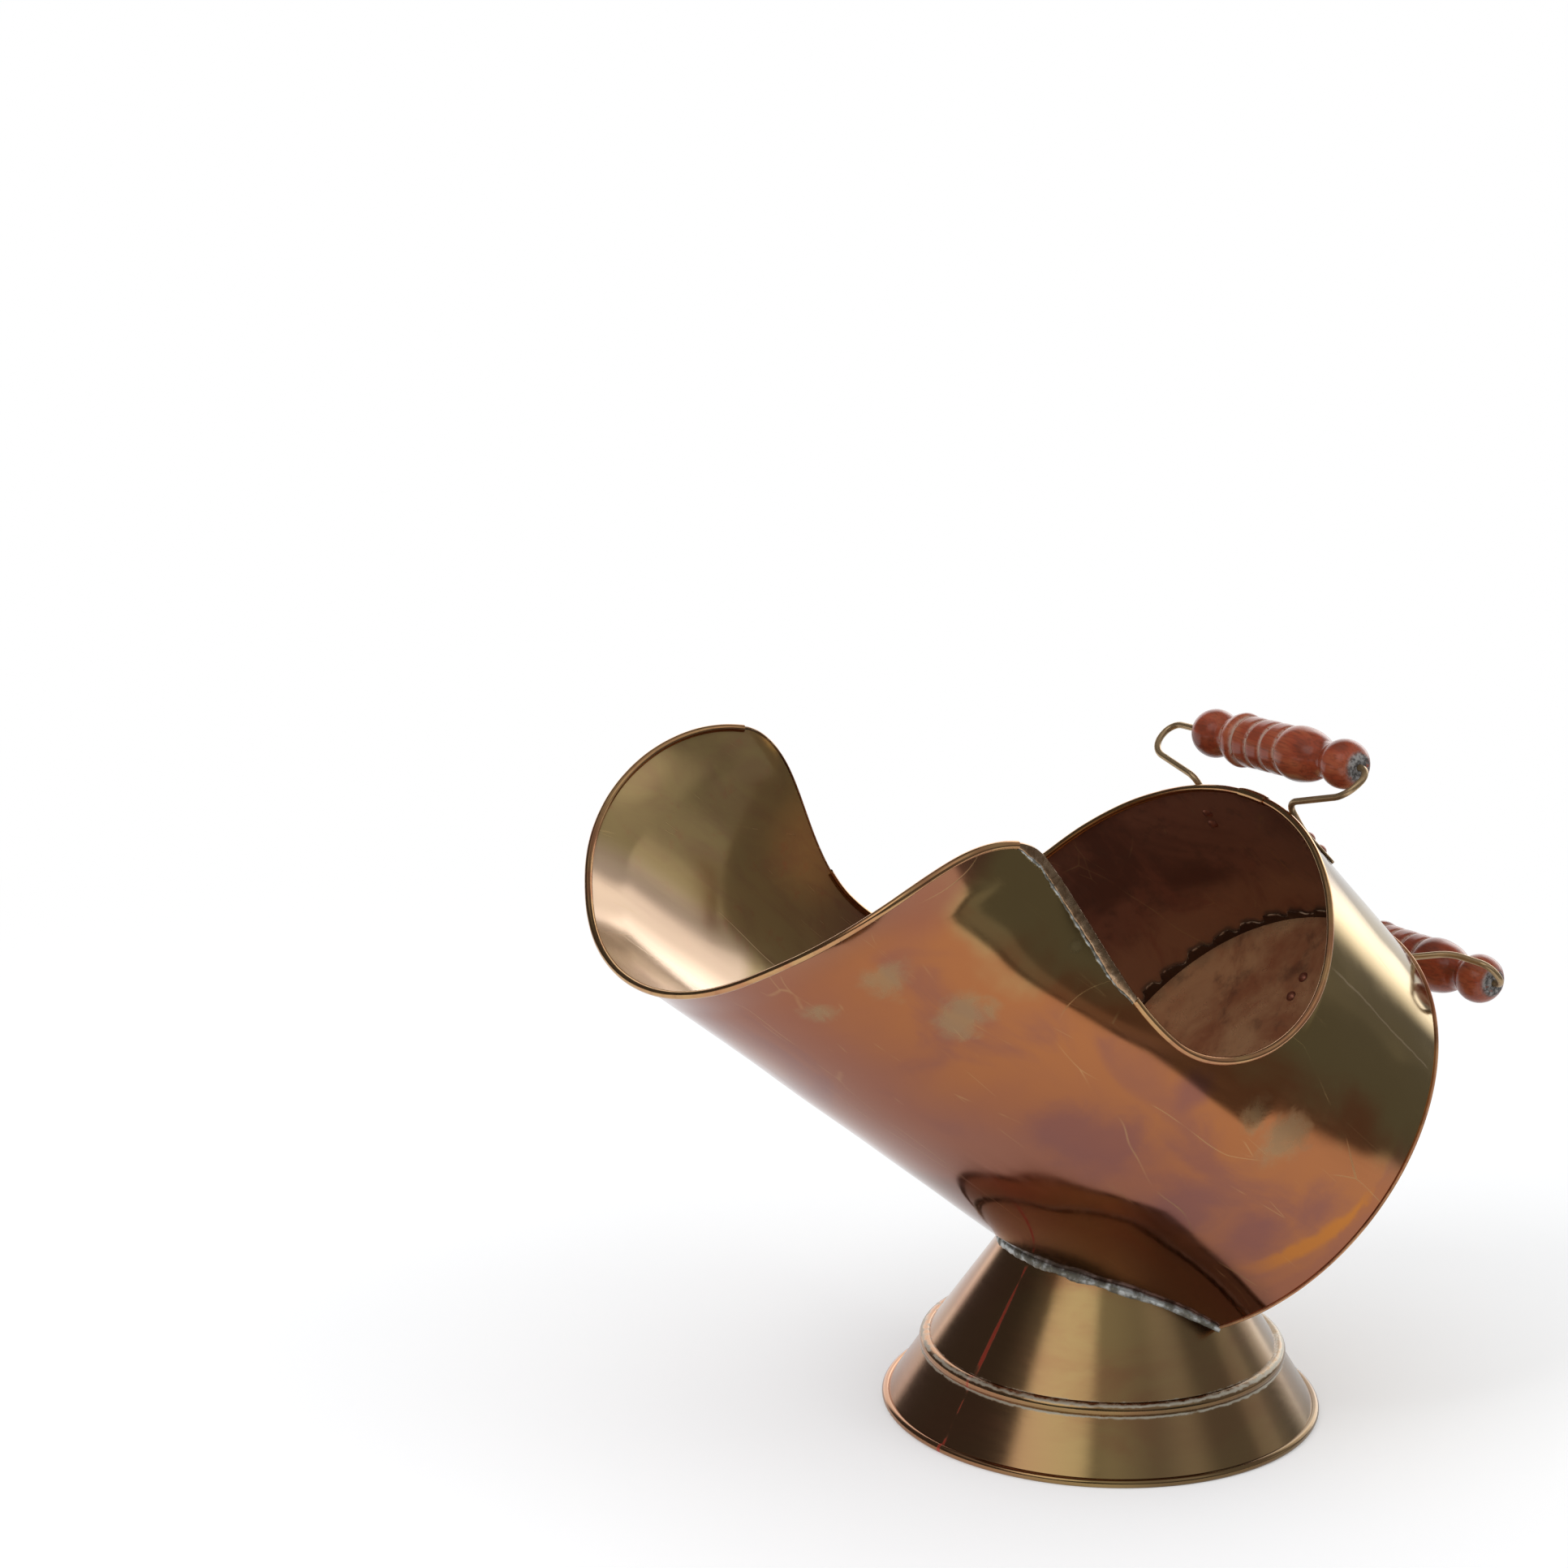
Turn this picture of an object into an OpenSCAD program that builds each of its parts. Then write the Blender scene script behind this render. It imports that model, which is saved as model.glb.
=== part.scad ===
// Helmet coal scuttle: a slanting brass tube with a hooded mouth and a pouring lip,
// standing on a flared round foot, with two bent wire handles that carry turned wooden grips.
// Millimetres. +Z is up, +X points from the foot towards the pouring lip, and the origin
// is the middle of the foot on the floor.
//
// The tube has a frame of its own. A place on it is given by three numbers: its distance
// along the tube from the back plate, its distance from the tube's axis, and its angle round
// the tube, counted from the top line towards +Y.

/* [Tube] */
// Outside diameter of the straight part of the tube
tube_d = 227; // [220:1:234]
// Thickness of the brass sheet
sheet_t = 1.2; // [0.8:0.1:1.6]
// Slope of the tube's axis above the floor, in degrees
tube_tilt = 38.35; // [36:0.05:41]
// How far the tube's lowest rear corner lies in front of the foot's middle
heel_x = -6.2; // [-10:0.1:-2]
// Height of the tube's lowest rear corner above the floor
heel_z = 40.2; // [37:0.1:44]

/* [Hood and mouth] */
// Length of the hood along the top line, from the back plate to its rim
hood_len = 100; // [90:1:112]
// How far the hood's rim is opened out beyond the straight tube
hood_flare = 12.5; // [8:0.5:15]
// Angle from the top line at which the hood's rim leaves its plane
hood_side_angle = 58; // [50:1:64]
// Distance along the tube of the lowest place of the mouth's side edge
dip_s = 163; // [153:1:172]
// Angle from the top line of that lowest place
dip_angle = 94; // [90:0.1:98]
// Distance along the tube of the sharp corner between side edge and lip
corner_s = 286; // [276:1:296]
// Angle from the top line of that corner
corner_angle = 80.8; // [76:0.1:84]
// How steeply the edge falls through that corner, in degrees round the tube per millimetre
corner_fall = 0.26; // [0.1:0.02:0.4]
// How much lower the side edge dips on the -Y side, in degrees round the tube
right_dip_drop = 2.8; // [0:0.1:4]
// Length of the tube along its bottom line, from the back plate to the lip
lip_s = 333; // [322:1:345]
// Angle from the top line at which the lip becomes square to the tube
lip_front_angle = 140; // [132:1:150]
// Width of the strip along the lip that is turned outwards
lip_turn_w = 20; // [12:1:28]
// How far the lip is turned out at the bottom
lip_turn_low = 2.2; // [1:0.1:4]
// How much further the lip is turned out beside the corners
lip_turn_ears = 5; // [2:0.1:7]

/* [Rim] */
// Thickness of the wired edge round hood and lip
bead_d = 3.6; // [3:0.1:4.4]
// Thickness of the short sleeve over the joint of the hood's wired edge
sleeve_d = 5; // [4.6:0.1:6]
// Width of the folded strip along each side edge
hem_w = 3.6; // [3.2:0.1:5]
// Thickness of that folded strip
hem_t = 1; // [0.8:0.1:1.4]
// Thickness of the solder run below the folded strip
hem_solder_d = 1.8; // [1.4:0.1:2.4]

/* [Back plate] */
// How far the back plate's edge stands out round the tube
plate_edge = 1; // [0.6:0.1:2]
// Number of tabs cut in the plate's edge and turned into the tube
tab_count = 44; // [30:1:50]
// Length of a tab along the tube
tab_len = 7; // [5:0.5:10]
// Share of the edge that the tabs cover
tab_share = 0.8; // [0.6:0.05:0.9]

/* [Foot] */
// Outside diameter of the foot on the floor
foot_d = 209; // [200:1:218]
// Height of the middle of the half-round band between skirt and cone
band_z = 29.8; // [26:0.1:32]
// Outside diameter of the cone where it meets the band
cone_d = 169.4; // [164:0.2:174]
// How far the cone draws in for each millimetre of height
cone_draw = 0.665; // [0.62:0.005:0.7]
// Height of the half-round band
band_h = 7; // [5:0.5:8]
// Thickness of the wired edge on the floor
foot_bead_d = 4.2; // [3.4:0.1:5]
// Width of the flat that wear has left under that edge
foot_flat_w = 2.4; // [1.6:0.1:3]
// Mean thickness of the solder between cone and tube
foot_solder_d = 4.2; // [3.4:0.1:5]

/* [Wire handles] */
// Thickness of the handle wire
wire_d = 3.2; // [2.8:0.1:3.6]
// Width of the flattened wire ends
tongue_w = 8; // [7:0.5:9]
// Thickness of the flattened wire ends
tongue_t = 1.6; // [1.4:0.1:2]
// Length of the flattened wire ends
tongue_len = 26; // [24:1:28]
// Diameter of a rivet's shank
rivet_d = 3; // [2.5:0.1:3.4]
// Diameter of a rivet's head
rivet_head_d = 5.4; // [4.6:0.1:6.4]
// Height of a rivet's head
rivet_head_h = 1.3; // [1:0.1:1.8]

/* [Top handle] */
// Distance of the middle of the top legs' rivets behind the hood's rim
top_leg_back = 22; // [20:0.5:24]
// Angle between the middle line of the two top legs and the rivets of each
top_leg_angle = 18; // [16:0.5:20]
// Angle by which that middle line stands off the top line, towards -Y
top_leg_turn = 3.8; // [0:0.1:5]
// How much the top legs lean together towards the rim, in degrees
top_leg_toe = 17.4; // [12:0.1:22]
// Distance between the two rivets of a top leg
top_rivet_gap = 8.4; // [8:0.1:10]
// Half the distance between the top handle's outermost bends
top_reach = 72.8; // [71:0.1:77]
// How far the middle between those bends stands off the tube's middle, towards -Y
top_shift = 7; // [0:0.5:7.5]
// Distance of the top grip in front of the hood's rim, along the tube
top_grip_ahead = 2.5; // [0:0.5:5]
// Height of the top grip above the hood's rim, square to the tube
top_grip_rise = 24.9; // [23:0.1:29]
// Height above the rim at which the top handle's arms turn back into the grip
top_arm_rise = 8; // [6:0.5:11]
// How far the top handle leans, its +Y end up, in degrees
top_lean = 4.3; // [0:0.1:6]

/* [Rear handle] */
// Distance of the middle of the rear legs' rivets above the plate's middle
rear_leg_u = 70.5; // [66:0.5:74]
// Half the distance between the rear legs
rear_leg_v = 16; // [13:0.5:18]
// Distance between the two rivets of a rear leg
rear_rivet_gap = 11; // [9:0.5:13]
// Half the distance between the rear handle's outermost bends
rear_reach = 72; // [71:0.5:77]
// How far the middle between those bends stands off the tube's middle, towards -Y
rear_shift = 7; // [0:0.5:7]
// Distance of the rear grip behind the back plate
rear_grip_back = 40; // [38:0.5:43]
// Height of the rear grip above the plate's middle
rear_grip_u = 115.5; // [113:0.5:119]
// Distance of the rear handle's arms behind the back plate
rear_arm_back = 25.5; // [24:0.5:27]
// How far the rear handle leans, its +Y end up, in degrees
rear_lean = 3.2; // [0:0.1:5]

/* [Grips] */
// Length of a grip
grip_len = 114; // [110:0.5:118]
// Diameter of the balls at a grip's ends
ball_d = 23.6; // [22:0.2:25]
// Distance of a ball's middle from the grip's end
ball_inset = 10.4; // [9.5:0.1:11]
// Diameter of the necks beside the balls
neck_d = 16.4; // [14:0.2:18]
// Diameter of the ringed half
ring_d = 24.6; // [23:0.2:26]
// Depth of the grooves between the rings
groove_depth = 1.1; // [0.6:0.1:1.6]
// Number of rings
ring_count = 4; // [2:1:6]
// Length of the ringed half
rings_len = 41.5; // [36:0.5:44]
// Length of the plain swelling beside the rings
belly_len = 23; // [20:0.5:26]
// Largest diameter of the plain swelling
belly_d = 25.6; // [24:0.2:27]

/* [Fits] */
// Play between a grip's bore and its wire, on the radius
grip_play = 0.1; // [0.05:0.01:0.1]
// Play between a rivet's shank and its holes, on the radius
rivet_play = 0.05; // [0.02:0.01:0.1]
// Gap that is left between formed sheets that only lie against each other
lap_gap = 0.2; // [0.1:0.05:0.3]

/* [Hidden] */

$fn = 64;
TINY = 0.01;
// How far a cutting cylinder reaches past each face that it opens
cut_past = 1;
tube_r = tube_d / 2;

// Middle of the back plate, on the tube's axis
plate_x = heel_x - tube_r * sin(tube_tilt);
plate_z = heel_z + tube_r * cos(tube_tilt);

// Colours
BRASS = "darkgoldenrod";
OLD_BRASS = "peru";
SOLDER = "lightslategray";
WOOD = "saddlebrown";

// ---------- small helpers ----------

// A step from 0 to 1 with soft ends
function soft_step(x) = let (c = max(0, min(1, x))) c * c * (3 - 2 * c);

function unit(a) = a / norm(a);

// Point of a cubic curve with two ends and two handles
function cubic(p, t) =
    pow(1 - t, 3) * p[0] + 3 * pow(1 - t, 2) * t * p[1]
    + 3 * (1 - t) * t * t * p[2] + t * t * t * p[3];

// Numbers 0 .. n as shares of n
function shares(n) = [for (i = [0 : n]) i / n];

// Puts its children from the tube's frame into the part's frame
module in_tube() {
    translate([plate_x, 0, plate_z])
        rotate([0, 90 - tube_tilt, 0])
            children();
}

// A place on the tube, in the tube's frame, whose +Z runs along the tube
function tube_point(s, r, angle) = [-r * cos(angle), r * sin(angle), s];

// The same from a height u above the axis and a distance v to the +Y side
function tube_suv(s, u, v) = [-u, v, s];

// ---------- the tube's surface ----------

// The widening of hood and cheeks fades out between these places along the tube: from a
// little in front of the dip to a little behind the corner
flare_past_dip = 10;
flare_to_corner = 24;
flare_hold = dip_s + flare_past_dip;
flare_end = corner_s - flare_to_corner;
// and between these angles from the top line
flare_side = dip_angle + 1;
flare_fade = 50;

// Outside radius of the tube before its lip is turned out
function wall_r(s, angle) =
    tube_r + hood_flare * min(s / hood_len, 1)
    * (1 - soft_step((s - flare_hold) / (flare_end - flare_hold)))
    * (1 - soft_step((abs(angle) - flare_side) / flare_fade));

// How far the very edge is turned out at an angle: a little everywhere on the lip,
// and most beside the corners
ears_angle = corner_angle + 27;
ears_spread = 35;
function lip_turn(angle) =
    lip_turn_low
    + (abs(angle - ears_angle) < ears_spread
       ? lip_turn_ears * pow(cos((angle - ears_angle) / ears_spread * 90), 2)
       : 0);

// Half of the mouth's edge, from the top line (0) to the bottom line (5), as
// [distance along the tube, angle]. Its five stretches are the hood's plane rim, the sweep
// down to the side, the side edge, the lip's shoulder and the lip's square front.
// Reach of the curves' handles, in millimetres along the tube and in degrees round it.
rim_handle_angle = 23;
dip_handle_back = 33;
dip_handle_ahead = 55.5;
corner_handle_back = 26.5;
corner_handle_ahead = 30;
lip_handle_angle = 32;
sweep_curve = [[hood_len, hood_side_angle], [hood_len, hood_side_angle + rim_handle_angle],
               [dip_s - dip_handle_back, dip_angle], [dip_s, dip_angle]];
side_curve = [[dip_s, dip_angle], [dip_s + dip_handle_ahead, dip_angle],
              [corner_s - corner_handle_back, corner_angle - corner_fall * corner_handle_back],
              [corner_s, corner_angle]];
shoulder_curve = [[corner_s, corner_angle],
                  [corner_s + corner_handle_ahead,
                   corner_angle + corner_fall * corner_handle_ahead],
                  [lip_s, lip_front_angle - lip_handle_angle], [lip_s, lip_front_angle]];

// How much lower the edge lies on the -Y side: the drop grows down the sweep and fades
// again along the side edge
function right_drop(q) =
    q <= 1 || q >= 3 ? 0
    : right_dip_drop * (q <= 2 ? soft_step(q - 1) : pow(1 - pow(q - 2, 2), 2));

function half_place(q) =
    q <= 1 ? [hood_len, hood_side_angle * q]
    : q <= 2 ? cubic(sweep_curve, q - 1)
    : q <= 3 ? cubic(side_curve, q - 2)
    : q <= 4 ? cubic(shoulder_curve, q - 3)
    : [lip_s, lip_front_angle + (180 - lip_front_angle) * (q - 4)];

function rim_place(q, side) = half_place(q) + [0, side < 0 ? right_drop(q) : 0];

// Angle at which the line that leads to place q of the edge leaves the back plate. It starts
// straight along the tube and bends towards its edge more and more, by this power.
line_bend = 2.5;
root_angles = [0, hood_side_angle, 104, 124, 152, 180];
function root_angle(q) =
    let (i = min(floor(q), 4))
    root_angles[i] + (root_angles[i + 1] - root_angles[i]) * (q - i);

// Place on the sheet's outer face: q says which place of the edge it leads to, and w runs
// from 0 at the back plate to 1 at the edge. depth is measured inwards from that face.
function sheet_point(q, w, depth, side) =
    let (edge = rim_place(q, side),
         s = edge[0] * w,
         angle = root_angle(q) + (edge[1] - root_angle(q)) * pow(w, line_bend),
         from_edge = edge[0] - s,
         turned = lip_turn(angle) * soft_step((edge[0] - flare_end) / flare_to_corner)
                  * pow(max(0, 1 - from_edge / lip_turn_w), 1.5))
    tube_point(s, wall_r(s, angle) + turned - depth, side * angle);

// Places along half the edge, closer together where it bends more
half_edge = concat([for (i = [0 : 11]) i / 12], [for (i = [0 : 7]) 1 + i / 8],
                   [for (i = [0 : 9]) 2 + i / 10], [for (i = [0 : 11]) 3 + i / 12],
                   [for (i = [0 : 7]) 4 + i / 8]);
// All round: [place, side], first down the +Y side and then up the other
whole_edge = concat([for (q = half_edge) [q, 1]], [[5, 1]],
                    [for (i = [len(half_edge) - 1 : -1 : 1]) [half_edge[i], -1]]);
wall_steps = 15;
function wall_share(i) = 1 - pow(1 - i / wall_steps, 1.6);

// The closed skin of a sheet that is open at both ends: two walls and two edges
module sheet_tube() {
    n = len(whole_edge);
    rows = wall_steps + 1;
    points = [for (depth = [0, sheet_t]) for (e = whole_edge) for (i = [0 : wall_steps])
              sheet_point(e[0], wall_share(i), depth, e[1])];
    function at(layer, j, i) = (layer * n + j % n) * rows + i;
    outer = [for (j = [0 : n - 1]) for (i = [0 : wall_steps - 1])
             each [[at(0, j, i), at(0, j + 1, i), at(0, j + 1, i + 1)],
                   [at(0, j, i), at(0, j + 1, i + 1), at(0, j, i + 1)]]];
    inner = [for (j = [0 : n - 1]) for (i = [0 : wall_steps - 1])
             each [[at(1, j, i), at(1, j + 1, i + 1), at(1, j + 1, i)],
                   [at(1, j, i), at(1, j, i + 1), at(1, j + 1, i + 1)]]];
    ends = [for (j = [0 : n - 1]) each
            [[at(0, j, 0), at(1, j, 0), at(1, j + 1, 0)],
             [at(0, j, 0), at(1, j + 1, 0), at(0, j + 1, 0)],
             [at(0, j, wall_steps), at(0, j + 1, wall_steps), at(1, j + 1, wall_steps)],
             [at(0, j, wall_steps), at(1, j + 1, wall_steps), at(1, j, wall_steps)]]];
    polyhedron(points, concat(outer, inner, ends));
}

// ---------- strips along the mouth's edge ----------

// Frame at a place of the edge, in the tube's frame: the middle of the sheet's edge, the
// way across the sheet's face from the edge inwards, and the way out of the tube
function edge_frame(q, side) =
    let (here = sheet_point(q, 1, sheet_t / 2, side),
         ahead = sheet_point(min(5, q + 0.01), 1, sheet_t / 2, side),
         behind = sheet_point(max(0, q - 0.01), 1, sheet_t / 2, side),
         along = unit(ahead - behind),
         back = sheet_point(q, 0.99, sheet_t / 2, side) - sheet_point(q, 1.01, sheet_t / 2, side),
         across = unit(back - along * (back * along)),
         normal = cross(across, along))
    [here, across, normal * sign(normal * [here[0], here[1], 0])];

// Six times the volume inside a skin, negative if its faces point inwards
function skin_volume(points, faces) =
    let (parts = [for (f = faces) points[f[0]] * cross(points[f[1]], points[f[2]])])
    parts * [for (v = parts) 1];

// The skin through a row of outlines with equally many corners. It is closed by joining the
// last outline to the first, or else by a face over each end.
module skin_through(loops, endless = false) {
    rows = len(loops);
    m = len(loops[0]);
    last = (rows - 1) * m;
    points = [for (l = loops) each l];
    walls = [for (i = [0 : endless ? rows - 1 : rows - 2]) for (k = [0 : m - 1])
             let (a = i * m + k, b = i * m + (k + 1) % m,
                  c = (i + 1) % rows * m + k, d = (i + 1) % rows * m + (k + 1) % m)
             each [[a, d, b], [a, c, d]]];
    ends = endless ? [] : [for (k = [1 : m - 2]) each
                           [[0, k, k + 1], [last, last + k + 1, last + k]]];
    faces = concat(walls, ends);
    outwards = skin_volume(points, faces) < 0;
    polyhedron(points, outwards ? faces : [for (f = faces) [f[0], f[2], f[1]]]);
}

// A solid carried along the edge. places is a list of [q, side]; outline is a function that
// gives the outline at a share of the way, as [across, outwards] pairs.
module edge_strip(places, outline) {
    count = len(places);
    skin_through([for (i = [0 : count - 1])
                  let (f = edge_frame(places[i][0], places[i][1]))
                  [for (c = outline(i / (count - 1))) f[0] + f[1] * c[0] + f[2] * c[1]]]);
}

function round_outline(d, sides, middle = [0, 0]) =
    [for (k = [0 : sides - 1])
     let (a = 360 * (k + 0.5) / sides) [middle[0] + d / 2 * cos(a), middle[1] + d / 2 * sin(a)]];

// Places of half the edge from q0 to q1, as [q, side]
function places(q0, q1, side) =
    let (inside = [for (q = half_edge) if (q > q0 + TINY && q < q1 - TINY) q])
    [for (q = concat([q0], inside, [q1])) [q, side]];
function reversed(list) = [for (i = [len(list) - 1 : -1 : 0]) list[i]];
function without_first(list) = [for (i = [1 : len(list) - 1]) list[i]];

// Place of the edge where each half of the hood's wired edge starts, just off the top line
hood_joint_q = 0.002;
// Places of the edge where the folded strips start
hem_q = 2.2;
// Half the sleeve's length, as a place of the edge
sleeve_q = 4.5 / hood_side_angle;
bead_sides = 8;

// ---------- sheet parts of the tube ----------

module body_shell() {
    color(BRASS)
        in_tube()
            difference() {
                sheet_tube();
                for (side = [-1, 1])
                    at_rivets(top_leg(side)) rivet_hole();
            }
}

// The plate closes the tube. Its edge is cut into tabs, which are turned into the tube.
module back_plate() {
    tab_r = tube_r - sheet_t - lap_gap;
    pitch = 360 / tab_count;
    color(OLD_BRASS)
        in_tube()
            difference() {
                union() {
                    translate([0, 0, -sheet_t])
                        cylinder(h = sheet_t, r = tube_r + plate_edge);
                    for (i = [0 : tab_count - 1])
                        rotate([0, 0, i * pitch])
                            translate([0, 0, -sheet_t / 2])
                                rotate_extrude(angle = pitch * tab_share)
                                    translate([tab_r - sheet_t, 0])
                                        square([sheet_t, sheet_t / 2 + tab_len]);
                }
                for (side = [-1, 1])
                    at_rivets(rear_leg(side)) rivet_hole();
            }
}

// One half of the hood's wired edge. The two halves meet under the sleeve.
module hood_bead(side) {
    color(BRASS)
        in_tube()
            edge_strip(places(hood_joint_q, hem_q, side),
                       function (f) round_outline(bead_d, bead_sides));
}

module left_hood_bead() { hood_bead(1); }

module right_hood_bead() { hood_bead(-1); }

module lip_bead() {
    color(BRASS)
        in_tube()
            edge_strip(concat(places(3, 5, 1), without_first(reversed(places(3, 5, -1)))),
                       function (f) round_outline(bead_d, bead_sides));
}

// Short sleeve over the place where the two halves of the hood's wired edge meet
module rim_sleeve() {
    color(OLD_BRASS)
        in_tube()
            edge_strip([[sleeve_q, -1], [sleeve_q / 2, -1], [0, 1], [sleeve_q / 2, 1], [sleeve_q, 1]],
                       function (f) round_outline(sleeve_d, bead_sides));
}

// Strip folded over the side edge: an angle over the edge and the outer face
module side_hem(side) {
    face = sheet_t / 2 + lap_gap;
    color(OLD_BRASS)
        in_tube()
            edge_strip(places(hem_q, 3, side),
                       function (f) [[-lap_gap, face], [-lap_gap, -sheet_t / 2],
                                     [-lap_gap - hem_t, -sheet_t / 2], [-lap_gap - hem_t, face + hem_t],
                                     [hem_w, face + hem_t], [hem_w, face]]);
}

module left_hem() { side_hem(1); }

module right_hem() { side_hem(-1); }

// Uneven run of solder in the corner between the strip and the sheet
module hem_solder(side) {
    color(SOLDER)
        in_tube()
            edge_strip(places(hem_q, 3, side),
                       function (f) round_outline(hem_solder_d * (1 + 0.25 * sin(f * 1500)), 6,
                                                  [hem_w + hem_solder_d / 4,
                                                   sheet_t / 2 + hem_solder_d / 4]));
}

module left_hem_solder() { hem_solder(1); }

module right_hem_solder() { hem_solder(-1); }

// ---------- foot ----------

cone_r = cone_d / 2;
foot_bead_r = foot_bead_d / 2;
// Middle of the round section of the wired edge on the floor
foot_bead_at = [foot_d / 2 - foot_bead_r, sqrt(pow(foot_bead_r, 2) - pow(foot_flat_w / 2, 2))];
// The cone's wall runs on into the tube, where it is cut away
cone_rise = (cone_r - 2 * sheet_t) / cone_draw;

function cone_r_at(z) = cone_r - cone_draw * (z - band_z);

// Section of the space inside the foot's outer faces
module foot_inside() {
    polygon([[0, 0], foot_bead_at, [cone_r, band_z],
             [cone_r - cone_draw * cone_rise, band_z + cone_rise], [0, band_z + cone_rise]]);
}

module foot_cone() {
    across = sheet_t * sqrt(1 + cone_draw * cone_draw);
    top_r = cone_r - cone_draw * cone_rise;
    color(BRASS)
        difference() {
            rotate_extrude()
                polygon([[cone_r - across, band_z], [cone_r, band_z],
                         [top_r, band_z + cone_rise], [top_r - across, band_z + cone_rise]]);
            in_tube() {
                cylinder(h = lip_s, r = tube_r + lap_gap);
                translate([0, 0, -sheet_t - lap_gap])
                    cylinder(h = sheet_t + 2 * lap_gap, r = tube_r + plate_edge + lap_gap);
            }
        }
}

module foot_skirt() {
    slope = (foot_bead_at[0] - cone_r) / (band_z - foot_bead_at[1]);
    across = sheet_t * sqrt(1 + slope * slope);
    color(BRASS)
        rotate_extrude()
            difference() {
                polygon([foot_bead_at, [cone_r, band_z], [cone_r - across, band_z],
                         [foot_bead_at[0] - across, foot_bead_at[1]]]);
                translate(foot_bead_at) circle(d = foot_bead_d);
            }
}

// Half-round band over the joint of cone and skirt
module foot_band() {
    color(OLD_BRASS)
        rotate_extrude()
            difference() {
                translate([cone_r - band_h / 8, band_z]) circle(d = band_h);
                foot_inside();
            }
}

module foot_bead() {
    color(BRASS)
        rotate_extrude()
            intersection() {
                translate(foot_bead_at) circle(d = foot_bead_d);
                square([foot_d, foot_bead_d * 2]);
            }
}

// Height at which the cone's outer face meets the tube, at an angle round the foot. There the
// cone's radius is full - cone_draw * z, and the place lies either on the tube's wall, which
// is a quadratic equation for z, or, behind that, on the back plate.
function joint_z(a) =
    let (full = cone_r + cone_draw * band_z,
         u0 = -(full * cos(a) - plate_x) * sin(tube_tilt) - plate_z * cos(tube_tilt),
         u1 = cone_draw * cos(a) * sin(tube_tilt) + cos(tube_tilt),
         v0 = full * sin(a),
         v1 = -cone_draw * sin(a),
         qa = u1 * u1 + v1 * v1,
         qb = u0 * u1 + v0 * v1,
         qc = u0 * u0 + v0 * v0 - tube_r * tube_r,
         wall_z = (-qb - sqrt(max(0, qb * qb - qa * qc))) / qa,
         along = (cone_r_at(wall_z) * cos(a) - plate_x) * cos(tube_tilt)
                 + (wall_z - plate_z) * sin(tube_tilt),
         plate_hit = (plate_z * sin(tube_tilt) - (full * cos(a) - plate_x) * cos(tube_tilt))
                     / (sin(tube_tilt) - cone_draw * cos(a) * cos(tube_tilt)))
    along > 0 ? wall_z : plate_hit;

// Lumpy solder all round that joint
solder_steps = 90;
module foot_solder() {
    color(SOLDER)
        skin_through([for (i = [0 : solder_steps - 1])
                      let (a = 360 * i / solder_steps, z = joint_z(a), r = cone_r_at(z),
                           d = foot_solder_d * (1 + 0.16 * sin(7 * a) + 0.12 * sin(17 * a + 40)))
                      [for (c = round_outline(d, 6))
                       [(r + c[0] + foot_solder_d / 8) * cos(a), (r + c[0] + foot_solder_d / 8) * sin(a),
                        z + c[1] - foot_solder_d / 4]]], endless = true);
}

// ---------- wire handles ----------

// A leg's frame, in the tube's frame: the middle of its rivets on the sheet's outer face, the
// way towards the first bend, the way to the side, and the way off the sheet. The distance
// between its two rivets comes last.
function top_leg(side) =
    let (a = top_leg_angle - side * top_leg_turn,
         radial = [-cos(a), side * sin(a), 0],
         around = [sin(a), side * cos(a), 0],
         rising = unit([0, 0, 1] + radial * (hood_flare / hood_len)),
         off = unit(radial - [0, 0, 1] * (hood_flare / hood_len)),
         along = rising * cos(top_leg_toe) - around * sin(top_leg_toe))
    [radial * wall_r(top_leg_s, a) + [0, 0, top_leg_s], along, cross(off, along), off,
     top_rivet_gap];

function rear_leg(side) =
    [tube_suv(-sheet_t, rear_leg_u, side * rear_leg_v), [-1, 0, 0], [0, 1, 0], [0, 0, -1],
     rear_rivet_gap];

function on_leg(leg, along, off) = leg[0] + leg[1] * along + leg[3] * off;

module at_leg(leg) {
    multmatrix([for (k = [0 : 2]) [leg[1][k], leg[2][k], leg[3][k], leg[0][k]]])
        children();
}

module at_rivets(leg) {
    at_leg(leg)
        for (way = [-1, 1])
            translate([way * leg[4] / 2, 0, 0])
                children();
}

module rivet_hole() {
    translate([0, 0, -3 * sheet_t])
        cylinder(h = 6 * sheet_t, d = rivet_d + 2 * rivet_play);
}

// A low dome on the plane z = 0
module rivet_dome() {
    ball_r = (pow(rivet_head_d / 2, 2) + pow(rivet_head_h, 2)) / (2 * rivet_head_h);
    rotate_extrude()
        intersection() {
            translate([0, rivet_head_h - ball_r]) circle(r = ball_r, $fn = 128);
            square([rivet_head_d, rivet_head_h]);
        }
}

// A closed rivet through a wire end and the sheet below it
module rivet() {
    top = lap_gap + tongue_t;
    bottom = -sheet_t - lap_gap;
    translate([0, 0, bottom]) cylinder(h = top - bottom, d = rivet_d);
    translate([0, 0, top]) rivet_dome();
    translate([0, 0, bottom]) mirror([0, 0, 1]) rivet_dome();
}

module rivets(legs) {
    for (leg = legs)
        at_rivets(leg) rivet();
}

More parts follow.
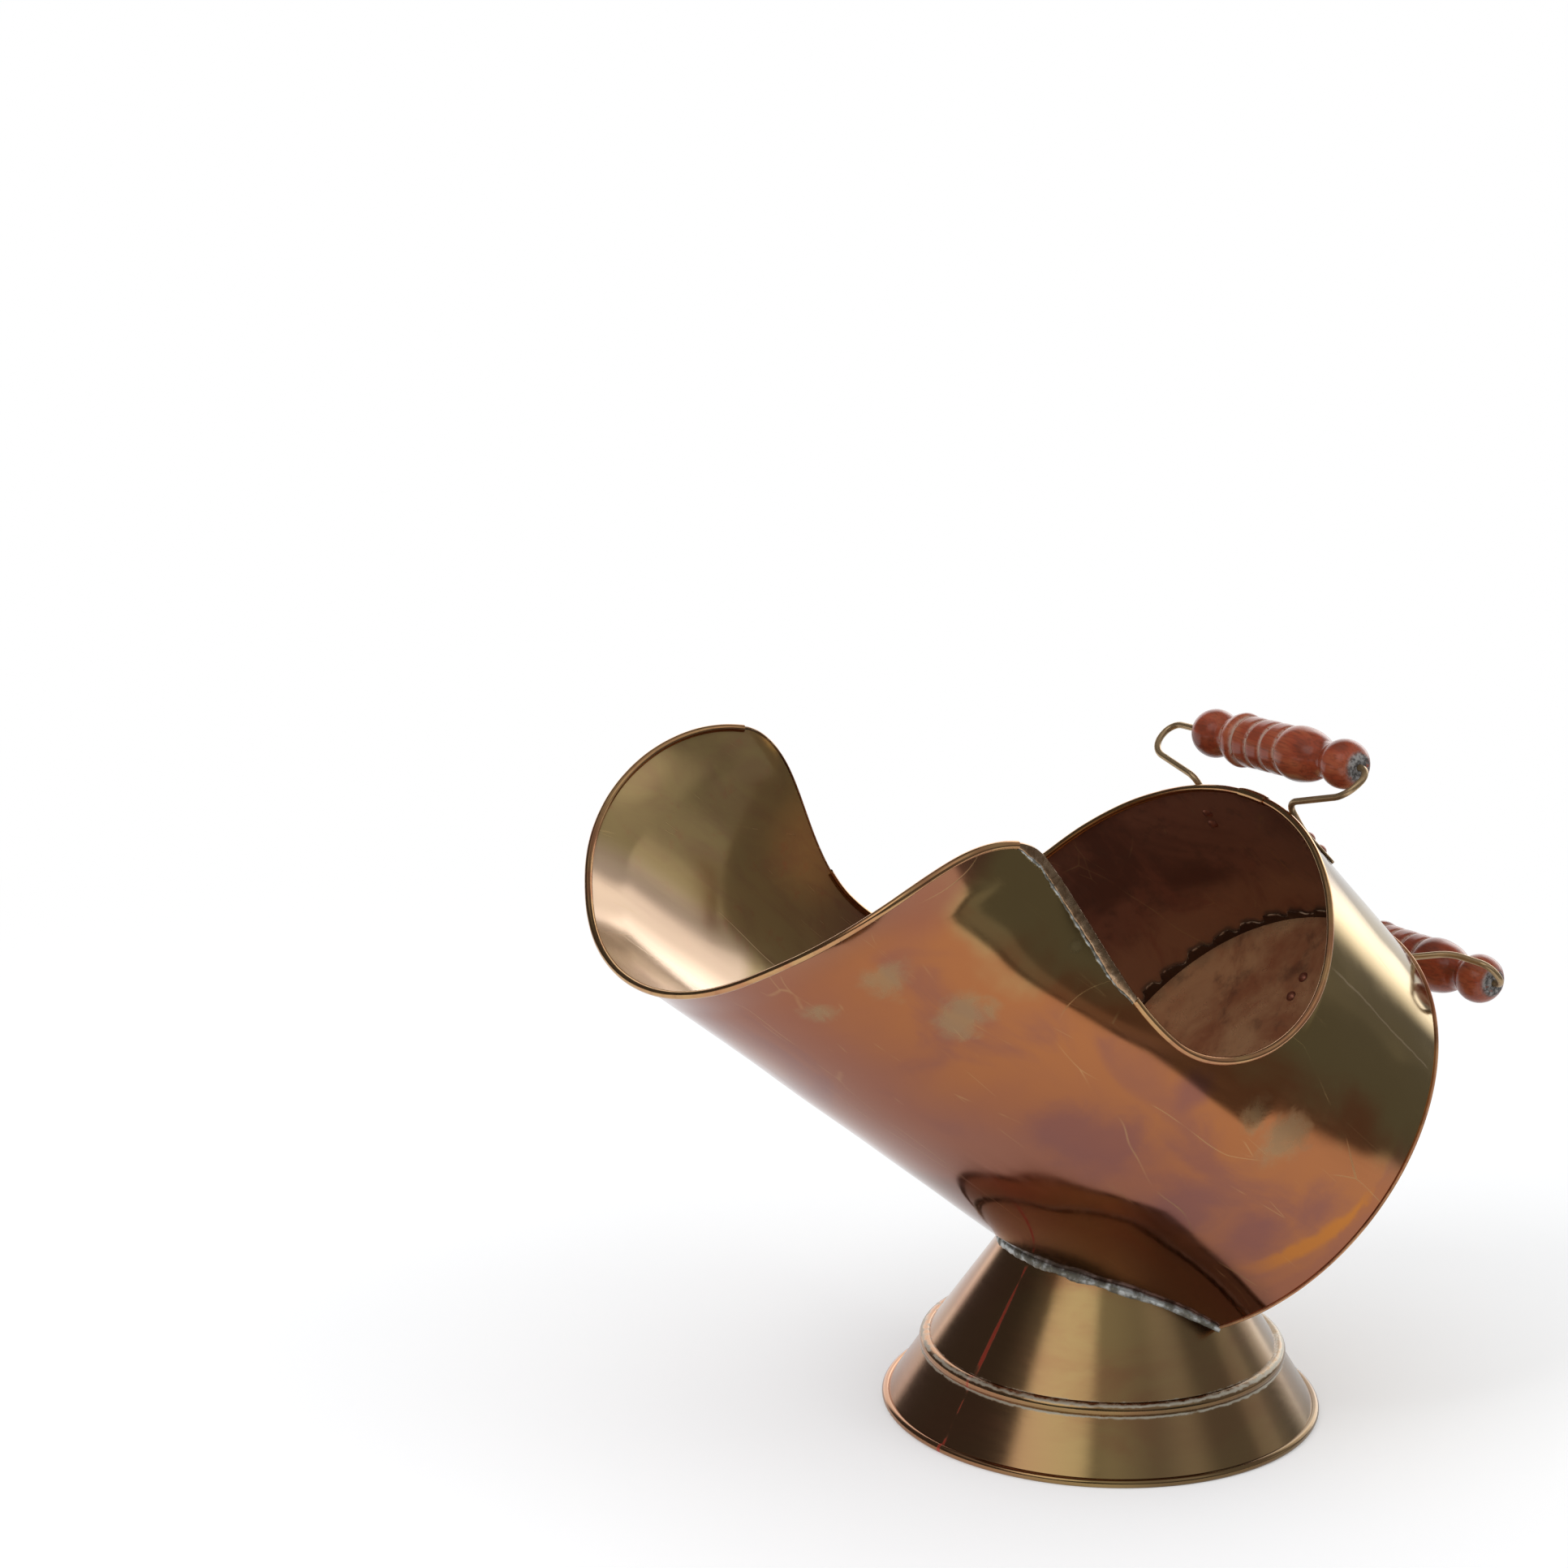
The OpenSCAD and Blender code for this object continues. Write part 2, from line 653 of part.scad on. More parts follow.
// Flattened wire end with its two rivet holes
module tongue(leg) {
    straight = tongue_len - tongue_w;
    difference() {
        at_leg(leg)
            translate([0, 0, lap_gap])
                union() {
                    translate([-straight / 2, -tongue_w / 2, 0])
                        cube([straight, tongue_w, tongue_t]);
                    for (way = [-1, 1])
                        translate([way * straight / 2, 0, 0])
                            cylinder(h = tongue_t, d = tongue_w);
                }
        at_rivets(leg) rivet_hole();
    }
}

// A bend is this much thicker all round than the straights, which reach this far into it
bend_swell = 0.02;
bend_grip = 0.25;
wire_sides = 24;

// Straight piece of round wire
module straight_wire(from, to) {
    way = to - from;
    translate(from)
        rotate([0, acos(way[2] / norm(way)), atan2(way[1], way[0])])
            cylinder(h = norm(way), d = wire_d, $fn = wire_sides);
}

// How much wire a bend of radius r takes off each of its two straights
function bend_back(before, corner, after, r) =
    r * tan(acos(unit(corner - before) * unit(after - corner)) / 2);

// Round bend at a corner: part of a ring in the plane of the two straights
module wire_bend(before, corner, after, r) {
    arriving = unit(corner - before);
    leaving = unit(after - corner);
    turn = acos(arriving * leaving);
    inwards = unit(leaving - arriving * (arriving * leaving));
    start = corner - arriving * bend_back(before, corner, after, r);
    middle = start + inwards * r;
    upright = cross(-inwards, arriving);
    multmatrix([for (k = [0 : 2]) [-inwards[k], arriving[k], upright[k], middle[k]]])
        rotate_extrude(angle = turn, $fn = 2 * wire_sides)
            translate([r, 0]) circle(r = wire_d / 2 + bend_swell, $fn = wire_sides);
}

// Wire bent at each inner point of a route, with the bends' radii between the two ends'
module bent_wire(route, radii) {
    last = len(route) - 1;
    backs = [for (i = [0 : last])
             i == 0 || i == last ? 0
             : bend_back(route[i - 1], route[i], route[i + 1], radii[i]) - bend_grip];
    for (i = [0 : last - 1]) {
        way = unit(route[i + 1] - route[i]);
        straight_wire(route[i] + way * backs[i], route[i + 1] - way * backs[i + 1]);
    }
    for (i = [1 : last - 1])
        wire_bend(route[i - 1], route[i], route[i + 1], radii[i]);
}

// Place of a handle in the tube's frame, leaned so that its +Y end stands higher
function leaned(s, u, v, lean) = tube_suv(s, u + v * tan(lean), v);

// Free space between a wire and what it passes
wire_clear = 0.6;
// How much higher the wire lies than the flattened end that it is one piece with
wire_step = 0.1;
// The wire starts on the tongue just in front of the upper rivet's head
function wire_start(leg) = on_leg(leg, leg[4] / 2 + rivet_head_d / 2 + wire_clear, wire_lift);
wire_lift = lap_gap + wire_d / 2 + wire_step;
// The top legs pass over the wired edge of the hood and this far past it before they bend
rim_pass = 2;
top_leg_s = hood_len - top_leg_back;
top_bend_along = top_leg_back / cos(top_leg_toe) + rim_pass;
top_bend_lift = wire_lift + (bead_d - sheet_t) / 2 + wire_clear;
rim_u = tube_r + hood_flare;
top_grip_s = hood_len + top_grip_ahead;
top_grip_u = rim_u + top_grip_rise;
top_arm_u = rim_u + top_arm_rise;
top_arm_ahead = 4;
top_arm_s = top_grip_s + top_arm_ahead;
// The rear legs bend off the plate here, and their arms are highest at the crown, which is
// given as its distance behind the plate and its distance to the side
rear_bend_along = 27.5;
rear_bend_off = 1;
rear_bend_lift = wire_lift + rear_bend_off;
rear_crown_back = 19;
rear_crown_side = 50;
rear_crown_u = rear_grip_u + 1.3;
rear_arm_u = rear_grip_u + 3;
// The arms' outer bends stand this much further in than the bends beside the grips
top_arm_in = 2;
rear_arm_in = 1;
// Radii of the bends
top_leg_bend = 6.7;
top_arm_bend = 11;
rear_leg_bend = 4;
crown_bend = 26;
rear_arm_bend = 8;
grip_bend = 7;

function top_half_route(side) =
    [wire_start(top_leg(side)),
     on_leg(top_leg(side), top_bend_along, top_bend_lift),
     leaned(top_arm_s, top_arm_u, side * (top_reach - top_arm_in) - top_shift, top_lean),
     leaned(top_grip_s, top_grip_u, side * top_reach - top_shift, top_lean)];

function rear_half_route(side) =
    [wire_start(rear_leg(side)),
     on_leg(rear_leg(side), rear_bend_along, rear_bend_lift),
     leaned(-rear_crown_back, rear_crown_u, side * rear_crown_side - rear_shift, rear_lean),
     leaned(-rear_arm_back, rear_arm_u, side * (rear_reach - rear_arm_in) - rear_shift, rear_lean),
     leaned(-rear_grip_back, rear_grip_u, side * rear_reach - rear_shift, rear_lean)];

module top_wire() {
    color(BRASS)
        in_tube() {
            bent_wire(concat(top_half_route(1), reversed(top_half_route(-1))),
                      [0, top_leg_bend, top_arm_bend, grip_bend,
                       grip_bend, top_arm_bend, top_leg_bend, 0]);
            for (side = [-1, 1])
                tongue(top_leg(side));
        }
}

module rear_wire() {
    color(BRASS)
        in_tube() {
            bent_wire(concat(rear_half_route(1), reversed(rear_half_route(-1))),
                      [0, rear_leg_bend, crown_bend, rear_arm_bend, grip_bend,
                       grip_bend, rear_arm_bend, crown_bend, rear_leg_bend, 0]);
            for (side = [-1, 1])
                tongue(rear_leg(side));
        }
}

module top_rivets() {
    color(OLD_BRASS) in_tube() rivets([top_leg(-1), top_leg(1)]);
}

module rear_rivets() {
    color(OLD_BRASS) in_tube() rivets([rear_leg(-1), rear_leg(1)]);
}

// ---------- grips ----------

// Points of a turned swelling between two places, from r0 to r1 with a crown of its own
function swelling(z0, z1, r0, r1, crown, power, n) =
    [for (f = shares(n)) [r0 + (r1 - r0) * f + crown * (1 - pow(abs(2 * f - 1), power)), z0 + (z1 - z0) * f]];

// Points on a ball between two places of the axis
function ball_arc(middle, z0, z1, n) =
    [for (f = shares(n)) let (z = z0 + (z1 - z0) * f) [sqrt(pow(ball_d / 2, 2) - pow(z - middle, 2)), z]];

// Half section of a grip: ball, rings, belly and ball, from its -Z end up
function grip_section() =
    let (ball_z = grip_len / 2 - ball_inset,
         neck_from_ball = sqrt(pow(ball_d / 2, 2) - pow(neck_d / 2, 2)),
         ball_end = ball_z - neck_from_ball,
         neck_gap = ((2 * ball_end) - rings_len - belly_len) / 2,
         first = -ball_end + neck_gap,
         pitch = rings_len / ring_count,
         groove_r = ring_d / 2 - groove_depth,
         belly_z = first + rings_len)
    concat([[0, -grip_len / 2]],
           ball_arc(-ball_z, -grip_len / 2, -ball_end, 12),
           [[neck_d / 2 - 0.3, -ball_end + neck_gap * 0.35]],
           [for (i = [0 : ring_count - 1])
            each swelling(first + i * pitch, first + (i + 1) * pitch, i == 0 ? neck_d / 2 : groove_r,
                          groove_r, groove_depth + (i == 0 ? (ring_d - neck_d) / 4 : 0), i == 0 ? 3 : 6, 8)],
           [[groove_r, belly_z + 0.3]],
           swelling(belly_z + 0.6, belly_z + belly_len, ring_d / 2 - 0.3, neck_d / 2,
                    belly_d / 2 - (ring_d - 0.6 + neck_d) / 4, 2.6, 12),
           [[neck_d / 2 - 0.3, ball_end - neck_gap * 0.35]],
           ball_arc(ball_z, ball_end, grip_len / 2, 12),
           [[0, grip_len / 2]]);

module grip(s, u, lean) {
    color(WOOD)
        in_tube()
            translate(tube_suv(s, u, 0))
                rotate([0, 0, lean])
                    rotate([-90, 0, 0])
                        difference() {
                            rotate_extrude() polygon(grip_section());
                            translate([0, 0, -grip_len / 2 - cut_past])
                                cylinder(h = grip_len + 2 * cut_past, d = wire_d + 2 * grip_play);
                        }
}

module top_grip() { grip(top_grip_s, top_grip_u, top_lean); }

module rear_grip() { grip(-rear_grip_back, rear_grip_u, rear_lean); }

body_shell();
back_plate();
left_hood_bead();
right_hood_bead();
rim_sleeve();
lip_bead();
left_hem();
right_hem();
left_hem_solder();
right_hem_solder();
foot_cone();
foot_band();
foot_skirt();
foot_bead();
foot_solder();
top_wire();
top_rivets();
top_grip();
rear_wire();
rear_rivets();
rear_grip();
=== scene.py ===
"""Dresses the helmet coal scuttle: fine sheet, wired edges, solder, wire handles and turned grips.

Lengths are millimetres until a mesh is made and metres in Blender. A place on the slanting tube
is (s, u, v): s along the tube from the back plate, u up from the tube's axis and square to it,
v to the left. Angles round the tube are counted in degrees from its top line towards the left.
"""

import logging
from dataclasses import dataclass
from enum import Enum
from typing import Callable, Self, Sequence, Union

import bpy
import numpy as np
from mathutils import Matrix, Vector


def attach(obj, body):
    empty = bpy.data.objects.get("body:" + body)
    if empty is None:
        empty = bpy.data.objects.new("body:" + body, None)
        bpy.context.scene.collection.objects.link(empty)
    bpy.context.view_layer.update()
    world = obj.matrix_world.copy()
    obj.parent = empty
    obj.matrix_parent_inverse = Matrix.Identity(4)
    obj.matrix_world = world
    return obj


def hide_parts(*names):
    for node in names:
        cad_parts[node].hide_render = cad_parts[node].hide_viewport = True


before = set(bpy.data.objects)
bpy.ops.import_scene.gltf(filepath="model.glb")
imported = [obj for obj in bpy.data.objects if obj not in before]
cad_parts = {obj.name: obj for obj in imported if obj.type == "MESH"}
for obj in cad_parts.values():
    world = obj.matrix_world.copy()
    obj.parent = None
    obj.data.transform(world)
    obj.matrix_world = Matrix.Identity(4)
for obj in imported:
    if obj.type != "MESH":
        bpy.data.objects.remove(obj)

LOG = logging.getLogger("scuttle")
Array = np.ndarray
Material = bpy.types.Material
Triple = tuple[float, float, float]
Colour = Triple
Skin = tuple[Array, Array, list[list[int]]]
Outline = Callable[[Array], tuple[Array, Array]]
METRE = 0.001
FULL_TURN = 360.0
SHARP_ANGLE = 50.0
UP = (0.0, 0.0, 1.0)
SIDES = ((1, "left"), (-1, "right"))


class Body(Enum):
    """The rigid bodies of the scuttle, by their names in the frame."""

    SCUTTLE = "scuttle"
    TOP_GRIP = "top_grip"
    REAR_GRIP = "rear_grip"


class Slot(Enum):
    """Names of the material slots in the record."""

    TUBE = "tube_brass"
    PLATE = "plate_brass"
    EDGE = "edge_brass"
    WIRE = "wire_brass"
    SOLDER = "solder"
    WOOD = "turned_wood"


# ---------- curves and numbers ----------


def soft_step(x: Array) -> Array:
    """Rise from 0 to 1 with level ends: with c as x held between 0 and 1, c squared times (3 - 2c)."""
    c = np.clip(x, 0.0, 1.0)
    return c * c * (3.0 - 2.0 * c)


def cos_deg(angle: Array) -> Array:
    """Cosine of an angle in degrees."""
    return np.cos(np.radians(angle))


def sin_deg(angle: Array) -> Array:
    """Sine of an angle in degrees."""
    return np.sin(np.radians(angle))


def turns(count: int) -> Array:
    """Angles of count equal steps round a circle, in degrees."""
    return np.arange(count) * FULL_TURN / count


def circle(radius: Array, angle: Array) -> tuple[Array, Array]:
    """Offsets of a place on a circle: radius times cosine and radius times sine."""
    return radius * cos_deg(angle), radius * sin_deg(angle)


def unit(vectors: Array) -> Array:
    """Vectors divided by their own lengths."""
    return vectors / np.linalg.norm(vectors, axis=-1, keepdims=True)


def travel(path: Array) -> Array:
    """Distance from a path's first point to each of its points: the sum of the steps before it."""
    return np.concatenate([[0], np.cumsum(np.linalg.norm(np.diff(path, axis=0), axis=1))])


def columns(values: Sequence[Array | float], like: Array) -> Array:
    """Values side by side, each in a column as long as like."""
    return np.concatenate([value + 0 * like for value in values], axis=1)


def cubic(ends: Sequence[tuple[float, float]], t: Array) -> Array:
    """Points of a cubic curve: the four corners weighted by the four terms of ((1 - t) + t) cubed."""
    p, t = np.asarray(ends, float), t[..., None]
    return (1 - t) ** 3 * p[0] + 3 * (1 - t) ** 2 * t * p[1] + 3 * (1 - t) * t * t * p[2] + t**3 * p[3]


def wander(x: Array, y: Array, seed: int, waves: int = 7) -> Array:
    """Smooth unevenness between about -1 and 1.

    A sum of plane sine waves over x and y with random directions and phases, each wave 1.5 times
    as short as the one before it and 1.6 times as low, divided by the sum of their heights.

    Args:
        x: First parameter, of which one unit holds about one wave of the longest kind.
        y: Second parameter.
        seed: Fixes the random directions and phases.
        waves: Number of waves.

    Returns:
        An array of the shape that x and y have together.
    """
    draw = np.random.default_rng(seed)
    total, heights, height, shorter = 0.0, 0.0, 1.0, 1.0
    for _ in range(waves):
        heading, phase = draw.uniform(0, 2 * np.pi, 2)
        across = x * np.cos(heading) + y * np.sin(heading)
        total = total + height * np.sin(2 * np.pi * shorter * across + phase)
        heights += height
        height, shorter = height / 1.6, shorter * 1.5
    return total / heights


# ---------- meshes ----------


def signed_volume(points: Array, quads: Array) -> float:
    """Volume inside quads, negative if they face inwards: a sixth of each half quad's triple product."""
    a, b, c, d = (points[quads[:, k]] for k in range(4))
    return float(np.einsum("ij,ij->i", a, np.cross(b, c) + np.cross(c, d)).sum() / 6.0)


def skin(loops: Array, endless: bool = False) -> Skin:
    """Closed skin through a row of closed outlines.

    Corner k of outline i is joined to corner k + 1 and to the same corners of outline i + 1. The
    last outline joins the first, or else a flat face closes each end. Faces point outwards: they
    are turned round where the volume that they enclose comes out negative.

    Args:
        loops: Points, as outlines x corners x 3, in millimetres.
        endless: Whether the last outline joins the first.

    Returns:
        Points (n x 3), quads (m x 4) and the end faces as lists of corners.
    """
    rows, corners = loops.shape[:2]
    points = loops.reshape(-1, 3)
    row = np.arange(rows if endless else rows - 1)[:, None]
    here, ahead = row * corners, (row + 1) % rows * corners
    k = np.arange(corners)[None, :]
    after = (k + 1) % corners
    quads = np.stack([here + k, here + after, ahead + after, ahead + k], axis=-1).reshape(-1, 4)
    ends = [] if endless else [list(range(corners))[::-1], list(range((rows - 1) * corners, rows * corners))]
    if signed_volume(points - points.mean(axis=0), quads) < 0:
        quads, ends = quads[:, ::-1], [face[::-1] for face in ends]
    return points, quads, ends


def put_in_scene(name: str, data: bpy.types.ID) -> bpy.types.Object:
    """New object with the given data, linked to the scene.

    Args:
        name: Name of the object.
        data: Its mesh, light or camera.

    Returns:
        The object.
    """
    new = bpy.data.objects.new(name, data)
    bpy.context.scene.collection.objects.link(new)
    return new


def make_piece(name: str, node: str, skins: Sequence[Skin], body: Body, finish: Material,
               fields: dict[str, Array] | None = None) -> None:
    """Puts skins into one smooth-shaded mesh at the origin and ties it to its body.

    Args:
        name: Name of the piece.
        node: CAD node that the piece is shown in place of.
        skins: What skin() gives, once for each closed part of the piece.
        body: The body that the piece moves with.
        finish: Material of the piece.
        fields: Values at the points that the finish reads, by attribute name.
    """
    points, faces, offset = [], [], 0
    for part_points, quads, ends in skins:
        points.append(part_points)
        faces += (quads + offset).tolist() + [[k + offset for k in face] for face in ends]
        offset += len(part_points)
    mesh = bpy.data.meshes.new(name)
    mesh.from_pydata(np.concatenate(points) * METRE, [], faces)
    mesh.polygons.foreach_set("use_smooth", np.ones(len(faces), bool))
    for key, values in (fields or {}).items():
        mesh.attributes.new(key, "FLOAT", "POINT").data.foreach_set("value", values.ravel().astype(np.float32))
    mesh.validate()
    mesh.update()
    mesh.set_sharp_from_angle(angle=float(np.radians(SHARP_ANGLE)))
    mesh.materials.append(finish)
    piece = put_in_scene(name, mesh)
    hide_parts(node)
    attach(piece, body.value)
    LOG.info("%s: %d points, %d faces, on %s", name, len(mesh.vertices), len(faces), body.value)


def dress_nodes(finish: Material, *nodes: str) -> None:
    """Gives CAD nodes that stay in sight their finish.

    Args:
        finish: The material.
        nodes: Names of the nodes.
    """
    for node in nodes:
        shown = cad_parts[node]
        shown.data.materials.clear()
        shown.data.materials.append(finish)
        LOG.info("%s: kept from the frame, finish %s", node, finish.name)


# ---------- the tube's surface ----------


@dataclass(frozen=True)
class TubeShape:
    """The slanting tube: sizes as in the CAD part, and the surface that they give."""

    tube_d: float = 227.0
    sheet_t: float = 1.2
    tilt: float = 38.35
    heel_x: float = -6.2
    heel_z: float = 40.2
    hood_len: float = 100.0
    hood_flare: float = 12.5
    hood_side_angle: float = 58.0
    sweep_start: float = 23.0
    sweep_end: float = 33.0
    dip_s: float = 163.0
    dip_angle: float = 94.0
    right_dip_drop: float = 2.8
    cheek_start: float = 55.5
    cheek_end: float = 26.5
    corner_s: float = 286.0
    corner_angle: float = 80.8
    corner_fall: float = 0.26
    shoulder_start: float = 30.0
    shoulder_end: float = 32.0
    lip_s: float = 333.0
    lip_front_angle: float = 140.0
    lip_turn_w: float = 20.0
    lip_turn_low: float = 2.2
    lip_turn_ears: float = 5.0
    ears_past_corner: float = 27.0
    ears_spread: float = 35.0
    flare_past_dip: float = 10.0
    flare_to_corner: float = 24.0
    flare_side_past_dip: float = 1.0
    flare_fade: float = 50.0
    line_bend: float = 2.5
    root_angles: tuple[float, ...] = (0.0, 58.0, 104.0, 124.0, 152.0, 180.0)

    @property
    def radius(self) -> float:
        """Outside radius of the straight tube."""
        return self.tube_d / 2

    @property
    def slant(self) -> tuple[float, float]:
        """Cosine and sine of the tube's tilt."""
        return cos_deg(self.tilt), sin_deg(self.tilt)

    def place(self, s: Array, u: Array, v: Array) -> Array:
        """Places in the part's frame: the plate's middle plus s along the tube, u up and v to the left.

        Args:
            s: Distances along the tube.
            u: Distances up from its axis.
            v: Distances to the left.

        Returns:
            Points, with x, y and z last.
        """
        c, t = self.slant
        x = self.heel_x + s * c - (u + self.radius) * t
        z = self.heel_z + s * t + (u + self.radius) * c
        return np.stack(np.broadcast_arrays(x, v, z), axis=-1)

    def place_round(self, s: Array, radius: Array, angle: Array) -> Array:
        """The same from a radius and an angle: u is radius x cosine, v is radius x sine."""
        return self.place(s, *circle(radius, angle))

    def way(self, s: float, u: float, v: float) -> Array:
        """A direction in the part's frame, from its reach along s, u and v."""
        return self.place(s, u, v) - self.place(0.0, 0.0, 0.0)

    def wall_radius(self, s: Array, angle: Array) -> Array:
        """Radius of the outer face: the straight tube's, plus a flare that grows evenly along the
        hood and fades in soft steps towards the lip and towards the bottom line.

        Args:
            s: Distances along the tube.
            angle: Angles from the top line.

        Returns:
            The radii.
        """
        flare_start = self.dip_s + self.flare_past_dip
        flare_end = self.corner_s - self.flare_to_corner
        side = self.dip_angle + self.flare_side_past_dip
        past = soft_step((s - flare_start) / (flare_end - flare_start))
        along = np.minimum(s / self.hood_len, 1) * (1 - past)
        around = 1 - soft_step((np.abs(angle) - side) / self.flare_fade)
        return self.radius + self.hood_flare * along * around

    def lip_turn(self, angle: Array) -> Array:
        """How far the very edge is turned out: a little everywhere, and a squared cosine beside the corners."""
        off = (angle - self.corner_angle - self.ears_past_corner) / self.ears_spread
        return self.lip_turn_low + self.lip_turn_ears * np.where(np.abs(off) < 1, cos_deg(off * 90) ** 2, 0)

    def edge(self, q: Array) -> tuple[Array, Array]:
        """Distance along the tube and angle of place q of the mouth's edge, from 0 on top to 5 below.

        Three cubic curves lead from the hood's plane rim to the lip's square front. On the right
        side the angle grows by a drop that rises in a soft step down the first curve and falls
        along the second as (1 - t squared) squared.

        Args:
            q: Place of the edge, negative on the right side.

        Returns:
            Distances and unsigned angles.
        """
        rim, dip = (self.hood_len, self.hood_side_angle), (self.dip_s, self.dip_angle)
        corner, front = (self.corner_s, self.corner_angle), (self.lip_s, self.lip_front_angle)
        fall, right, q = self.corner_fall, q < 0, np.abs(q)
        sweep = cubic([rim, (rim[0], rim[1] + self.sweep_start), (dip[0] - self.sweep_end, dip[1]), dip], q - 1)
        cheek = cubic([dip, (dip[0] + self.cheek_start, dip[1]),
                       (corner[0] - self.cheek_end, corner[1] - self.cheek_end * fall), corner], q - 2)
        shoulder = cubic([corner, (corner[0] + self.shoulder_start, corner[1] + self.shoulder_start * fall),
                          (front[0], front[1] - self.shoulder_end), front], q - 3)
        drop = np.where(q < 2, soft_step(q - 1), (1 - np.clip(q - 2, 0, 1) ** 2) ** 2) * right
        stretch = [q <= 1, q <= 2, q <= 3, q <= 4]
        s = np.select(stretch, [rim[0] + 0 * q, sweep[..., 0], cheek[..., 0], shoulder[..., 0]], self.lip_s)
        below = front[1] + (180 - front[1]) * (q - 4)
        angle = np.select(stretch, [rim[1] * q, sweep[..., 1], cheek[..., 1], shoulder[..., 1]], below)
        return s, angle + self.right_dip_drop * drop

    def sheet(self, q: Array, w: Array | float, depth: Array | float) -> tuple[Array, Array, Array]:
        """Places on the sheet as (s, radius, angle).

        Each line across the sheet starts at the back plate at its root angle and reaches place q
        of the edge, where its angle has moved by w to the power of line_bend. The radius is the
        wall's, plus the lip's turn times (1 - distance from the edge / width) to the power 1.5,
        less the depth below the outer face.

        Args:
            q: Place of the edge from 0 to 5, negative on the right side.
            w: 0 at the back plate, 1 at the edge.
            depth: Distance below the outer face.

        Returns:
            Arrays of distances along the tube, radii and signed angles.
        """
        edge_s, edge_angle = self.edge(q)
        root = np.interp(np.abs(q), range(6), self.root_angles)
        s = edge_s * w
        angle = root + (edge_angle - root) * w**self.line_bend
        lip_share = soft_step((edge_s - self.corner_s + self.flare_to_corner) / self.flare_to_corner)
        strip = np.maximum(0, 1 - (edge_s - s) / self.lip_turn_w) ** 1.5
        radius = self.wall_radius(s, angle) + self.lip_turn(angle) * lip_share * strip - depth
        return s, radius, np.where(q < 0, -angle, angle)

    def sheet_place(self, q: Array, w: float, depth: float) -> Array:
        """The same place in the part's frame."""
        return self.place_round(*self.sheet(q, w, depth))


TUBE = TubeShape()


# ---------- shader maths ----------

Number = Union["Value", float]
Shade = Union["Value", Colour]
Sockets = dict[str, Union["Value", float, Colour]]


class Value:
    """A shader output that Python arithmetic works on. An expression adds Math nodes."""

    def __init__(self, graph: "Graph", socket: bpy.types.NodeSocket) -> None:
        """Wraps one output socket of a graph."""
        self.graph, self.socket = graph, socket

    def math(self, operation: str, *inputs: Number) -> Self:
        """Result of a Math node on the inputs."""
        return self.graph.add("ShaderNodeMath", {"operation": operation}, dict(enumerate(inputs)))

    def __add__(self, other: Number) -> Self:
        """Sum."""
        return self.math("ADD", self, other)

    __radd__ = __add__

    def __sub__(self, other: Number) -> Self:
        """Difference."""
        return self.math("SUBTRACT", self, other)

    def __rsub__(self, other: float) -> Self:
        """A number less this value."""
        return self.math("SUBTRACT", other, self)

    def __mul__(self, other: Number) -> Self:
        """Product."""
        return self.math("MULTIPLY", self, other)

    __rmul__ = __mul__

    def __abs__(self) -> Self:
        """Size without its sign."""
        return self.math("ABSOLUTE", self)

    def over(self, low: float, high: float) -> Self:
        """Soft step from 0 at low to 1 at high.

        Args:
            low: Where the step is 0; it may be the larger number.
            high: Where it is 1.

        Returns:
            The share.
        """
        ends = dict(enumerate((self, min(low, high), max(low, high), 0.0, 1.0)))
        step = self.graph.add("ShaderNodeMapRange", {"interpolation_type": "SMOOTHSTEP"}, ends)
        return 1.0 - step if low > high else step

    def held(self) -> Self:
        """This value held between 0 and 1."""
        return self.graph.add("ShaderNodeClamp", {}, {0: self})

    def larger(self, other: Number) -> Self:
        """The larger of two values."""
        return self.math("MAXIMUM", self, other)


